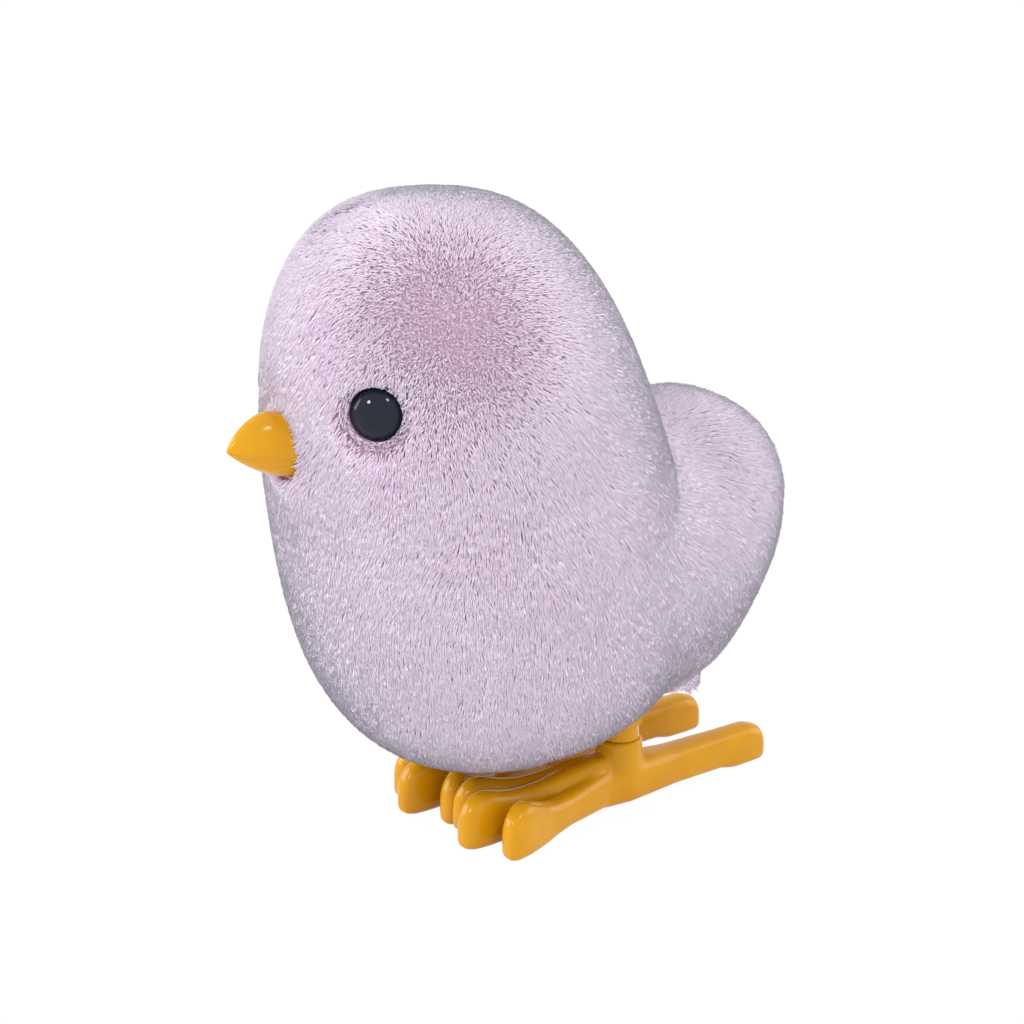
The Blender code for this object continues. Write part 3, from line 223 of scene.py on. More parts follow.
class PlushSettings(PropertyGroup):
    """Sizes and colours of the pile."""

    depth: length_setting(
        name="Backing depth", description="How far the backing lies below the form's outline", default=0.0008
    )
    proud: length_setting(
        name="Tips proud", description="How far the tips stand out of the form's outline", default=0.0001
    )
    strand_width: length_setting(
        name="Strand width", description="Width of one strand at its thickest", default=0.00012
    )
    density: FloatProperty(
        name="Density", description="Strands on each square millimetre of backing", default=25.0
    )
    crown_lean: angle_setting(
        name="Crown lean", description="Lean from upright where the pile parts", default=math.radians(10)
    )
    lean: angle_setting(name="Lean", description="Lean from upright elsewhere", default=math.radians(68))
    tuft: length_setting(
        name="Tuft size", description="Width of the tufts that the strands gather into", default=0.0010
    )
    seed: IntProperty(name="Seed", description="Number that the random values start from", default=7)
    root_colour: colour_setting(
        name="Root colour", description="Colour of the strand roots", default=(0.92, 0.52, 0.73)
    )
    tip_colour: colour_setting(
        name="Tip colour", description="Colour of the strand tips", default=(0.93, 0.87, 0.99)
    )


class PlasticSettings(PropertyGroup):
    """Colours of the moulded pieces."""

    orange: colour_setting(
        name="Orange", description="Colour of beak, feet, legs and knob", default=(0.615, 0.293, 0.004)
    )
    deep_orange: colour_setting(
        name="Deep orange", description="Colour of its darker streaks", default=(0.57, 0.248, 0.003)
    )
    eye: colour_setting(name="Eye", description="Colour of the eyes", default=(0.008, 0.010, 0.022))
    fillet_voxel: length_setting(
        name="Fillet grain", description="Cell size of the feet before they are smoothed", default=0.00025
    )


class StageSettings(PropertyGroup):
    """Camera and lights."""

    azimuth: angle_setting(
        name="Azimuth", description="Turn of the camera from front to left", default=math.radians(53)
    )
    elevation: angle_setting(
        name="Elevation", description="Height of the camera as an angle", default=math.radians(17)
    )
    distance: length_setting(name="Distance", description="Camera to aim point", default=0.330)
    aim_height: length_setting(
        name="Aim height", description="Height of the point that the camera looks at", default=0.048
    )
    key_power: FloatProperty(
        name="Key power", description="Watts of the small lamp on the left", default=1.2
    )
    fill_power: FloatProperty(
        name="Fill power", description="Watts of the small lamp on the right", default=0.8
    )
    side_power: FloatProperty(
        name="Side power", description="Watts of the wide lamp on the left; the right has less", default=2.9
    )
    ambient: FloatProperty(name="Ambient", description="Strength of the light from all round", default=1.03)


# Arrays and meshes


def signed_power(value, exponent):
    """|value| to the exponent, with the sign of value."""
    return np.sign(value) * np.abs(value) ** exponent


def unit(vectors):
    """Vectors divided by their lengths."""
    return vectors / np.maximum(np.linalg.norm(vectors, axis=-1, keepdims=True), 1e-12)


def full_turn(count):
    """Even angles round a circle."""
    return np.linspace(0, math.tau, count, endpoint=False)


def tangent_part(vectors, normals):
    """A vector less its share along the normal, made unit length."""
    return unit(vectors - normals * (vectors * normals).sum(-1, keepdims=True))


def new_object(name, data):
    """Object of a mesh, light or camera, linked to the scene."""
    made = bpy.data.objects.new(name, data)
    bpy.context.scene.collection.objects.link(made)
    return made


def new_piece(name, points, faces, body, slot, attributes=None):
    """Mesh object from a point array and a list of face index arrays, riding on a body."""
    mesh = bpy.data.meshes.new(name)
    mesh.vertices.add(len(points))
    mesh.vertices.foreach_set("co", np.ascontiguousarray(points, np.float32).ravel())
    corners = np.concatenate([f.ravel() for f in faces]).astype(np.int32)
    sizes = np.concatenate([np.full(len(f), f.shape[1]) for f in faces])
    starts = np.concatenate(([0], np.cumsum(sizes)[:-1])).astype(np.int32)
    mesh.loops.add(len(corners))
    mesh.loops.foreach_set("vertex_index", corners)
    mesh.polygons.add(len(starts))
    mesh.polygons.foreach_set("loop_start", starts)
    for key, values in (attributes or {}).items():
        kind, field = ("FLOAT", "value") if values.ndim == 1 else ("FLOAT_VECTOR", "vector")
        layer = mesh.attributes.new(key, kind, "POINT")
        layer.data.foreach_set(field, np.ascontiguousarray(values, np.float32).ravel())
    mesh.update(calc_edges=True)
    mesh.validate()
    mesh.shade_smooth()
    piece = new_object(name, mesh)
    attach(piece, body)
    return piece


def grid_faces(rows, columns):
    """Quads between each row of points and the next, closed round the columns."""
    index = np.arange(rows * columns).reshape(rows, columns)
    near = np.roll(index, -1, axis=1)
    return np.stack((index[:-1], index[1:], near[1:], near[:-1]), -1).reshape(-1, 4)


def closed_grid(rows):
    """Points and faces of rows of points, whose first and last rows close to their middles."""
    count, columns = rows.shape[:2]
    points = np.concatenate((rows.reshape(-1, 3), rows[:1].mean(1), rows[-1:].mean(1)))
    ring = np.arange(columns)
    near = np.roll(ring, -1)
    last = (count - 1) * columns
    first_cap = np.stack((np.full(columns, count * columns), ring, near), -1)
    last_cap = np.stack((np.full(columns, count * columns + 1), last + near, last + ring), -1)
    return points, [grid_faces(count, columns), first_cap, last_cap]


# Forms of the plush


def body_level(polar):
    """Height share of the egg: signed cosine of the polar angle to the fullness."""
    return signed_power(np.cos(polar), BODY_FULLNESS)


def body_reach(polar):
    """Width share of the egg: sine of the polar angle to the fullness, narrower at the crown."""
    return np.maximum(np.sin(polar), 0) ** BODY_FULLNESS * (1 - BODY_EGG * body_level(polar))


def body_surface(polar, turn, inset=0.0):
    """Leaning egg: x and y are reach times cosine and sine of turn, y shifts with level, z rises with level.

    The back rises by a slope times its own y share, most at the bottom.
    """
    half = BODY_HALF - inset
    level, reach = body_level(polar), body_reach(polar)
    fore = half[1] * reach * np.sin(turn)
    across = half[0] * reach * np.cos(turn)
    along = BODY_CENTRE_Y - BODY_LEAN * level - BODY_BEND * (level**2 - 0.5) + fore
    rise = BODY_BOTTOM + BODY_HALF[2] + half[2] * level + BODY_UNDERSLOPE * fore * (1 - level) / 2
    return np.stack(np.broadcast_arrays(across, along, rise), -1) + ORIGIN


def body_share(points, inset=0.0):
    """1 on the egg: x and y over the reach at the point's level, which repeated substitution finds from z."""
    half = BODY_HALF - inset
    across, along, rise = np.moveaxis(points - ORIGIN, -1, 0)
    level = np.zeros_like(rise)
    for _ in range(12):
        fore = along - BODY_CENTRE_Y + BODY_LEAN * level + BODY_BEND * (level**2 - 0.5)
        tilt = BODY_UNDERSLOPE * fore * (1 - level) / 2
        level = np.clip((rise - BODY_BOTTOM - BODY_HALF[2] - tilt) / half[2], -0.9999, 0.9999)
    reach = body_reach(np.arccos(signed_power(level, 1 / BODY_FULLNESS)))
    return np.hypot(across / (half[0] * reach), fore / (half[1] * reach))


def rump_surface(polar, turn, inset=0.0):
    """Full ellipsoid: half sizes times sine and cosine of polar to the fullness, tilted about X."""
    half = RUMP_HALF - inset
    reach = np.maximum(np.sin(polar), 0) ** RUMP_FULLNESS
    along = half[1] * reach * np.sin(turn)
    rise = half[2] * signed_power(np.cos(polar), RUMP_FULLNESS)
    c, s = math.cos(RUMP_TILT), math.sin(RUMP_TILT)
    turned = np.broadcast_arrays(half[0] * reach * np.cos(turn), along * c - rise * s, along * s + rise * c)
    return np.stack(turned, -1) + RUMP_CENTRE + ORIGIN


def rump_share(points, inset=0.0):
    """1 on the ellipsoid, in proportion to the distance from its middle: its surface's formula, solved."""
    c, s = math.cos(RUMP_TILT), math.sin(RUMP_TILT)
    across, back, up = np.moveaxis(points - RUMP_CENTRE - ORIGIN, -1, 0)
    half = RUMP_HALF - inset
    flat = (across / half[0]) ** 2 + ((back * c + up * s) / half[1]) ** 2
    tall = np.abs((up * c - back * s) / half[2])
    return (flat ** (1 / RUMP_FULLNESS) + tall ** (2 / RUMP_FULLNESS)) ** (RUMP_FULLNESS / 2)


def slope(field, points, inset):
    """Value of a field and its slope along X, Y and Z, from small steps."""
    step = 2e-6
    value = field(points, inset)
    return value, np.stack([(field(points + step * axis, inset) - value) / step for axis in np.eye(3)], -1)


def distance(field, points, inset):
    """Near distance from the form on which a field is 1: what is missing to 1, over the slope."""
    value, rise = slope(field, points, inset)
    return (value - 1) / np.linalg.norm(rise, axis=-1)


def blended(points, inset):
    """Distance from body and rump grown together: the lesser one, less a soft share where both are near."""
    body, rump = distance(body_share, points, inset), distance(rump_share, points, inset)
    bell = np.exp(-(((points[..., 2] - BLEND_HEIGHT) / BLEND_SPREAD) ** 2))
    width = BLEND_LEAST + (BLEND_MOST - BLEND_LEAST) * bell
    overlap = np.clip(1 - np.abs(body - rump) / width, 0, 1)
    return np.minimum(body, rump) - width / 4 * overlap**2


def grown_together(points, normals, inset, other):
    """Points and normals of one form, moved out onto the soft corner wherever the other form is near.

    Points far inside the other form stay where they are.
    """
    points, normals = points.copy(), normals.copy()
    gap = distance(other, points, inset)
    near = np.abs(gap) < BLEND_MOST
    moved = points[near]
    hold = np.clip(1 + gap[near] / HOLD_DEPTH, 0, 1)[..., None]
    for _ in range(5):
        value, rise = slope(blended, moved, inset)
        outward = unit(rise)
        moved = moved - np.clip(value, -MOVE_LIMIT, MOVE_LIMIT)[..., None] * outward * hold
    points[near] = moved
    normals[near] = unit(outward * hold + normals[near] * (1 - hold))
    return points, normals


def surface_normal(surface, polar, turn, inset=0.0):
    """Cross product of the steps along polar and turn, made unit length."""
    step = 1e-3
    polar = np.clip(polar, 0.02, math.pi - 0.02)
    down = surface(polar + step, turn, inset) - surface(polar - step, turn, inset)
    across = surface(polar, turn + step, inset) - surface(polar, turn - step, inset)
    return unit(np.cross(down, across))


def opening_share(points):
    """1 on the leg opening's edge: plan offsets over its half sizes, to a high power, summed and rooted.

    High above the opening it is large.
    """
    offset = (points[..., :2] - ORIGIN[:2] - OPENING_CENTRE) / OPENING_HALF
    share = (np.abs(offset) ** OPENING_SQUARENESS).sum(-1) ** (1 / OPENING_SQUARENESS)
    return share + np.where(points[..., 2] > OPENING_TOP, FAR, 0.0)


def golden_spiral(surface, inset, count):
    """Polar and turn of evenly spread points.

    The k-th has k/count of the area above it, and k golden angles of turn.
    """
    polar = np.linspace(0.0, math.pi, 721)
    turn = np.linspace(0.0, math.tau, 181)
    points = surface(polar[:, None], turn[None, :], inset)
    down, across = np.gradient(points, axis=0), np.gradient(points, axis=1)
    ring_area = np.linalg.norm(np.cross(down, across), axis=-1).sum(1)
    above = np.cumsum(ring_area)
    number = np.arange(count) + 0.5
    return np.interp(number / count * above[-1], above, polar), number * GOLDEN_ANGLE % math.tau


def surface_area(surface, inset):
    """Sum of the grid cells' cross products."""
    points = surface(np.linspace(0, math.pi, 181)[:, None], np.linspace(0, math.tau, 181)[None, :], inset)
    steps = np.cross(np.diff(points, axis=0)[:, :-1], np.diff(points, axis=1)[:-1])
    return float(np.linalg.norm(steps, axis=-1).sum())


# Materials


def new_finish(name, roughness, **sockets):
    """Material with one Principled shader whose fixed values are set on its own sockets."""
    material = bpy.data.materials.new(name)
    material.use_nodes = True
    shader = material.node_tree.nodes["Principled BSDF"]
    shader.inputs["Roughness"].default_value = roughness
    for socket, value in sockets.items():
        shader.inputs[socket.replace("_", " ")].default_value = value
    return material, shader


def add_node(owner, kind, **values):
    """Shader node of a kind in a material or world, with properties or input values set by name."""
    node = owner.node_tree.nodes.new("ShaderNode" + kind)
    for key, value in values.items():
        socket = key.replace("_", " ")
        if socket in node.inputs:
            node.inputs[socket].default_value = value
        else:
            setattr(node, key, value)
    return node


def join(owner, *pairs):
    for start, end in pairs:
        owner.node_tree.links.new(start, end)


def noise(material, scale, detail=2.0, stretch=(1.0, 1.0, 1.0)):
    """Factor of a noise texture on the piece's own coordinates, scaled along the axes."""
    place = add_node(material, "TexCoord")
    drawn = add_node(material, "Mapping", Scale=stretch)
    texture = add_node(material, "TexNoise", Scale=scale, Detail=detail)
    join(
        material,
        (place.outputs["Object"], drawn.inputs["Vector"]),
        (drawn.outputs["Vector"], texture.inputs["Vector"]),
    )
    return texture.outputs["Fac"]


def ramp(material, factor, *stops):
    """Colour ramp through (position, colour) stops."""
    node = add_node(material, "ValToRGB")
    elements = node.color_ramp.elements
    while len(elements) < len(stops):
        elements.new(0.5)
    for element, (position, colour) in zip(elements, stops):
        element.position = position
        element.color = (*colour, 1.0)
    join(material, (factor, node.inputs["Fac"]))
    return node.outputs["Color"]


def paint(material, shader, factor, deep, light):
    """Base colour that passes from deep to light with a factor."""
    colour = ramp(material, factor, (0.3, deep), (0.7, light))
    join(material, (colour, shader.inputs["Base Color"]))


def add_bump(material, shader, height, strength, distance):
    bump = add_node(material, "Bump", Strength=strength, Distance=distance)
    join(material, (height, bump.inputs["Height"]), (bump.outputs["Normal"], shader.inputs["Normal"]))


def vary_roughness(material, shader, factor, low, high):
    spread = add_node(material, "MapRange", To_Min=low, To_Max=high)
    ends = spread.outputs["Result"], shader.inputs["Roughness"]
    join(material, (factor, spread.inputs["Value"]), ends)


def plush_finish(name, settings):
    """Pile: pink roots, pale tips, tufts a little pinker or paler than their neighbours.

    The shading normal lies between the strand's own and that of the skin below it,
    so the pile is shaded softly.
    """
    material, shader = new_finish(name, 0.9, Sheen_Weight=1.0, Sheen_Roughness=0.45, Specular_IOR_Level=0.2)
    shader.inputs["Sheen Tint"].default_value = (0.88, 0.92, 1.0, 1.0)
    height, tone, skin = (
        add_node(material, "Attribute", attribute_name=name)
        for name in ("pile_height", "pile_tone", "skin_normal")
    )
    root, tip = Vector(settings.root_colour), Vector(settings.tip_colour)
    upright = ramp(material, height.outputs["Fac"], (0.0, root), (0.55, root.lerp(tip, 0.45)), (1.0, tip))
    shade = ramp(material, tone.outputs["Fac"], (0.1, (0.97, 0.88, 0.95)), (0.6, (1, 1, 1)))
    mixed = add_node(material, "Mix", data_type="RGBA", blend_type="MULTIPLY", Factor=1.0)
    outward = add_node(material, "VectorTransform", vector_type="NORMAL")
    strand = add_node(material, "NewGeometry")
    added = add_node(material, "VectorMath", operation="ADD")
    soft = add_node(material, "VectorMath", operation="NORMALIZE")
    join(
        material,
        (skin.outputs["Vector"], outward.inputs["Vector"]),
        (outward.outputs["Vector"], added.inputs[0]),
        (strand.outputs["Normal"], added.inputs[1]),
        (added.outputs["Vector"], soft.inputs[0]),
        (soft.outputs["Vector"], shader.inputs["Normal"]),
        (upright, mixed.inputs[6]),
        (shade, mixed.inputs[7]),
        (mixed.outputs[2], shader.inputs["Base Color"]),
    )
    return material


def backing_finish(name, settings):
    """Knitted backing: fine loops in the root colour, a quarter of the way to the tips'."""
    material, shader = new_finish(name, 0.95, Sheen_Weight=0.2)
    loops = noise(material, 2600.0)
    yarn = Vector(settings.root_colour).lerp(Vector(settings.tip_colour), 0.25)
    paint(material, shader, loops, yarn * 0.92, yarn)
    add_bump(material, shader, loops, 0.4, 0.0002)
    return material


def plastic_finish(name, light, deep, roughness, **sockets):
    """Moulded plastic: slow drift between two near colours, fine skin, uneven gloss."""
    material, shader = new_finish(name, roughness, **sockets)
    drift = noise(material, 160.0)
    paint(material, shader, drift, deep, light)
    vary_roughness(material, shader, drift, roughness * 0.8, roughness * 1.25)
    add_bump(material, shader, noise(material, 5200.0), 0.04, 0.00005)
    return material


def metal_finish(name, light, dark, roughness, stretch):
    """Worked metal: streaks drawn out along one axis, in colour, gloss and height."""
    material, shader = new_finish(name, roughness, Metallic=1.0)
    streaks = noise(material, 900.0, 4.0, stretch)
    paint(material, shader, streaks, dark, light)
    vary_roughness(material, shader, streaks, roughness * 0.75, roughness * 1.4)
    add_bump(material, shader, streaks, 0.06, 0.00005)
    return material


def orange_finish(name, settings):
    return plastic_finish(name, settings.orange, settings.deep_orange, 0.16, Specular_IOR_Level=0.24)


def dress(piece, material):
    piece.data.materials.clear()
    piece.data.materials.append(material)


# Plush pieces


def hashed(cells, *weights):
    """Even random numbers from whole-number cells: the fraction of a large multiple of a sine."""
    value = np.sin(cells @ np.array(weights)) * 43758.5453
    return value - np.floor(value)


def scattered(cells):
    """Three even random numbers for each cell."""
    return np.stack([hashed(cells, 12.9, 78.2, k) for k in (37.7, 11.3, 91.7)], -1)


def tufts(roots, size):
    """Middle and cell of each root's tuft: the nearest of the random middles, one in each cell around it."""
    home = np.floor(roots / size)
    nearest = np.full(len(roots), np.inf)
    middle, cell = roots.copy(), home.copy()
    for step in itertools.product((-1, 0, 1), repeat=3):
        near = home + step
        place = (near + scattered(near)) * size
        gap = ((place - roots) ** 2).sum(-1)
        closer = gap < nearest
        nearest[closer], middle[closer], cell[closer] = gap[closer], place[closer], near[closer]
    return middle, cell


def waves(points, length):
    """Slow uneven value between about -1 and 1: a sum of sines of the place."""
    x, y, z = np.moveaxis(points - ORIGIN, -1, 0) * math.tau / length
    slow = np.sin(0.8 * x + 0.5 * z + 0.6) + np.sin(0.7 * y - 0.9 * z + 2.1)
    quick = np.sin(1.9 * y + 1.4 * z + 1.0) * np.sin(1.6 * x - 1.2 * z)
    return 0.35 * slow + 0.4 * quick


def clear_of_opening(roots):
    """0 at the edge of the leg opening, 1 from half its half size outside it."""
    return np.clip((opening_share(roots) - 1) * 2, 0, 1)[:, None]


def lie_of_pile(roots, normals):
    """Way the pile is brushed, and how far it is from the crown: away from the crown of its side, and down.

    The two sides pass into each other over the middle; slow waves turn the way a little.
    Round the leg opening it is brushed outwards.
    """
    local = roots - ORIGIN
    left = 1 / (1 + np.exp(-local[:, :1] / CROWN_MERGE))
    away = (local - CROWN) * left + (local - CROWN * (-1, 1, 1)) * (1 - left)
    far = np.linalg.norm(away, axis=-1, keepdims=True)
    lie = tangent_part(away / far + (1e-6, 0.0, -0.5) * np.clip(far / CROWN_REACH, 0, 1), normals)
    angle = (0.40 * waves(roots, LIE_WAVE))[:, None]
    lie = lie * np.cos(angle) + np.cross(normals, lie) * np.sin(angle)
    outward = tangent_part((local - (*OPENING_CENTRE, 0.0)) * (1, 1, 0), normals)
    clear = clear_of_opening(roots)
    return unit(lie * clear + outward * (1 - clear)), far


def from_eye(points):
    """Offset and distance of each point from the axis of the eye on its side; far off the face."""
    polar, turn = np.full(2, EYE_POLAR), np.array([*EYE_TURNS.values()])
    side = (points[..., 0] < ORIGIN[0]).astype(int)
    axis = surface_normal(body_surface, polar, turn)[side]
    offset = points - body_surface(polar, turn)[side]
    flat = offset - axis * (offset * axis).sum(-1, keepdims=True)
    off_face = np.linalg.norm(offset, axis=-1) > EYE_FIELD
    return flat, np.linalg.norm(flat, axis=-1) + np.where(off_face, FAR, 0.0)


def from_stem(points):
    """Offset and distance of each point from the knob's axis; far off on the chick's left."""
    flat = (points - WINDER) * (0.0, 1.0, 1.0)
    return flat, np.linalg.norm(flat, axis=-1) + np.where(points[..., 0] > ORIGIN[0], FAR, 0.0)


def eye_press(gap):
    """Depth to which an eye presses the plush in: most up to its edge, less along a bell curve outside it."""
    return EYE_DIMPLE * np.exp(-((np.maximum(gap - EYE_RADIUS, 0) / EYE_DIMPLE_REACH) ** 2))


def dimpled(points, normals):
    """Points moved in against their normals by the press of the eyes."""
    return points - normals * eye_press(from_eye(points)[1])[..., None]


def held_back(drift, flat, gap, clear):
    """Drifts of strands, cut off where they would reach nearer than a clear distance to an axis."""
    inward = -unit(flat)
    excess = np.maximum((drift * inward).sum(-1) - np.maximum(gap - clear, 0), 0)
    return drift - inward * excess[..., None]


def beak_share(points):
    """1 on the beak's base outline: a half ellipse above the lip, a lower one below; large off the face."""
    across, along, rise = np.moveaxis(points - ORIGIN, -1, 0)
    rise = rise - BEAK_HEIGHT + BEAK_LIP_DROP
    height = np.where(rise > 0, BEAK_HALF_HEIGHT + BEAK_LIP_DROP, BEAK_HALF_HEIGHT - BEAK_LIP_DROP)
    return np.hypot(across / BEAK_HALF_WIDTH, rise / height) + np.where(along > FACE_BACK_Y, FAR, 0.0)


def strands(roots, normals, settings, seed):
    """Points, faces and attributes of strands: each a bent blade of four points, root, two shoulders and tip.

    The tip stands off the root along the normal, leant by the lie of the pile, by its tuft's own lean,
    and towards the tuft's middle. The shoulders lie outside the straight line between root and tip,
    so the strand bends. Strands keep clear of the eyes and the knob's stem, and are
    short round the leg opening.
    """
    rng = np.random.default_rng(seed)
    count = len(roots)
    middle, cell = tufts(roots, settings.tuft)
    own = scattered(cell)
    lie, far = lie_of_pile(roots, normals)
    fallen = 1 - np.exp(-((far / CROWN_REACH) ** 2))
    lean = np.tan(settings.crown_lean + (settings.lean - settings.crown_lean) * fallen)
    lean = lean * rng.uniform(*LEAN_SPREAD, (count, 1)) * (0.85 + 0.3 * own[:, :1])
    height = (settings.depth + settings.proud) * rng.uniform(*HEIGHT_SPREAD, (count, 1))
    height *= SHORTEST + (1 - SHORTEST) * clear_of_opening(roots)
    flat, gap = from_eye(roots)
    height += eye_press(gap)[:, None] * 0.6
    at_beak = np.clip(1.6 - beak_share(roots), 0, 0.5)[:, None] * 2
    at_eye = np.clip((1.35 - gap / EYE_RADIUS) * 4, 0, 1)[:, None]
    drift = lie * lean * (1 - 0.6 * at_beak) * (1 - at_eye) - unit(flat) * at_eye * 0.3
    drift = drift + (own - 0.5) * 0.6 + rng.normal(0.0, STRAY, (count, 3))
    drift = drift * height + (middle - roots) * GATHER
    drift -= normals * (drift * normals).sum(-1, keepdims=True)
    drift = held_back(drift, flat, gap, EYE_RADIUS * EYE_TIPS)
    drift = held_back(drift, *from_stem(roots), STEM_CLEAR)
    drift += (0.0, -1.0, 0.0) * at_beak * height * 1.1
    tips = roots + normals * height + drift
    shoulders = roots + normals * height * SHOULDER_RISE + drift * SHOULDER_DRIFT
    across = unit(np.cross(tips - roots, normals) + rng.normal(0.0, TWIST, (count, 3)) * height)
    across *= settings.strand_width / 2 * rng.uniform(*WIDTH_SPREAD, (count, 1))
    outward = (np.cross(shoulders - roots, across) * (tips - roots)).sum(-1, keepdims=True)
    across = np.where(outward < 0, -across, across)
    points = np.stack((roots, shoulders + across, shoulders - across, tips), 1)
    pattern = np.array(((0, 1, 2), (1, 3, 2), (0, 3, 1), (0, 2, 3)))
    faces = (np.arange(count)[:, None, None] * 4 + pattern).reshape(-1, 3)
    tone = 0.5 + 0.35 * (own[:, 2] - 0.5) + 0.30 * (rng.random(count) - 0.5) + 0.20 * waves(roots, TONE_WAVE)
    attributes = {
        "pile_height": np.tile((0.0, 0.7, 0.7, 1.0), count),
        "pile_tone": np.repeat(tone, 4),
        "skin_normal": np.repeat(normals, 4, axis=0),
    }
    return points.reshape(-1, 3), faces, attributes


def add_pile(name, roots, normals, settings, material):
    """Pieces of pile from the roots in order, each small enough for one mesh."""
    pieces = math.ceil(len(roots) / STRANDS_PER_PIECE)
    for i, part in enumerate(np.array_split(np.arange(len(roots)), pieces)):
        points, faces, attributes = strands(roots[part], normals[part], settings, settings.seed + i)
        dress(new_piece(f"{name}_{i + 1}", points, [faces], "chick", "lilac_plush", attributes), material)


def body_backing(inset):
    """Rows of the body's backing: down the outside to the leg opening, up its wall, and back inside.

    The outside ends where the plan of the egg meets the opening; the inside is the same rows, set in.
    """
    rows, columns = 130, 200
    turn = full_turn(columns)
    tries = np.linspace(math.pi * 0.6, math.pi, 1200)
    outside = opening_share(body_surface(tries[:, None], turn[None], inset)) > OPENING_WALL
    edge = tries[np.argmin(outside, axis=0)]
    polar = np.linspace(0.002, 1.0, rows)[:, None] * edge
    turn = np.broadcast_to(turn[None], polar.shape)
    normals = surface_normal(body_surface, polar, turn, inset)
    outer = dimpled(*grown_together(body_surface(polar, turn, inset), normals, inset, rump_share))
    inner = dimpled(body_surface(polar, turn, inset + BACKING_THICKNESS), normals)
    rim = np.stack((outer[-1], outer[-1]))
    rim[..., 2] = BASE_BOTTOM - RIM_DROP
    rim[1, :, :2] += unit(outer[-1, :, :2] - ORIGIN[:2] - OPENING_CENTRE) * BACKING_THICKNESS
    inner = inner[inner[:, :, 2].min(1) > BASE_BOTTOM + LINING_RISE]
    return np.concatenate((outer, rim, inner[::-1]))


def spread_roots(surface, inset, density, other):
    """Evenly spread roots and their normals on a form, less those in the other form and the leg opening."""
    count = round(surface_area(surface, inset) * 1e6 * density)
    polar, turn = golden_spiral(surface, inset, count)
    roots, normals = surface(polar, turn, inset), surface_normal(surface, polar, turn, inset)
    free = (distance(other, roots, inset) > -0.0002) & (opening_share(roots) > OPENING_ROOTS)
    return grown_together(roots[free], normals[free], inset, other)


class CHICK_OT_plush_body(Operator):
    """Backing and pile of head and body"""

    bl_idname = "chick.plush_body"
    bl_label = "Plush body"

    def execute(self, context):
        settings = context.scene.chick_plush
        grid = closed_grid(body_backing(settings.depth))
        backing = new_piece("body_backing", *grid, "chick", "lilac_plush")
        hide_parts("plush_body")
        dress(backing, backing_finish("lilac_backing", settings))
        roots, normals = spread_roots(body_surface, settings.depth, settings.density, rump_share)
        keep = (from_eye(roots)[1] > EYE_RADIUS * EYE_ROOTS) & (from_stem(roots)[1] > STEM_CLEAR)
        keep &= beak_share(roots) > BEAK_ROOTS
        roots, normals = roots[keep], normals[keep]
        roots = dimpled(roots, normals)
        add_pile("body_pile", roots, normals, settings, plush_finish("lilac_pile", settings))
        return {"FINISHED"}


class CHICK_OT_plush_rump(Operator):
    """Backing and pile of the rump lobe"""

    bl_idname = "chick.plush_rump"
    bl_label = "Plush rump"

    def execute(self, context):
        settings = context.scene.chick_plush
        inset = settings.depth
        polar = np.linspace(0.01, math.pi - 0.01, 90)[:, None]
        turn = full_turn(140)[None]
        rows, normals = rump_surface(polar, turn, inset), surface_normal(rump_surface, polar, turn, inset)
        rows, _ = grown_together(rows, normals, inset, body_share)
        backing = new_piece("rump_backing", *closed_grid(rows), "chick", "lilac_plush")
        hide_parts("plush_rump")
        dress(backing, backing_finish("lilac_rump_backing", settings))
        roots, normals = spread_roots(rump_surface, inset, settings.density, body_share)
        add_pile("rump_pile", roots, normals, settings, plush_finish("lilac_rump_pile", settings))
        return {"FINISHED"}


# Face pieces


def eye_rows(turn):
    """Dome carried round the eye's axis: a quarter ellipse down to the rim, then in below it."""
    bend = np.linspace(0.02, math.pi / 2, 40)
    radius = np.concatenate((EYE_RADIUS * np.sin(bend), (EYE_RADIUS, EYE_RADIUS * 0.97, EYE_RADIUS * 0.3)))
    lift = np.concatenate((EYE_RIM + EYE_DOME * np.cos(bend), (EYE_RIM * 0.3, 0.0, 0.0))) - EYE_SINK
    place = np.array(EYE_POLAR), np.array(turn)
    centre, axis = body_surface(*place), surface_normal(body_surface, *place)
    side = unit(np.cross(axis, (0.0, 0.0, 1.0)))
    other = np.cross(axis, side)
    round_turn = full_turn(96)
    spokes = np.cos(round_turn)[:, None] * side + np.sin(round_turn)[:, None] * other
    return centre + lift[:, None, None] * axis + radius[:, None, None] * spokes


class CHICK_OT_eyes(Operator):
    """Two black domed eyes"""

    bl_idname = "chick.eyes"
    bl_label = "Eyes"

    def execute(self, context):
        colour = Vector(context.scene.chick_plastic.eye)
        material = plastic_finish("eye_black", colour, colour * 0.7, 0.07, Specular_IOR_Level=0.28)
        for side, turn in EYE_TURNS.items():
            eye = new_piece(f"{side}_eye_dome", *closed_grid(eye_rows(turn)), "chick", "eye_black")
            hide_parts(f"{side}_eye")
            dress(eye, material)
        return {"FINISHED"}


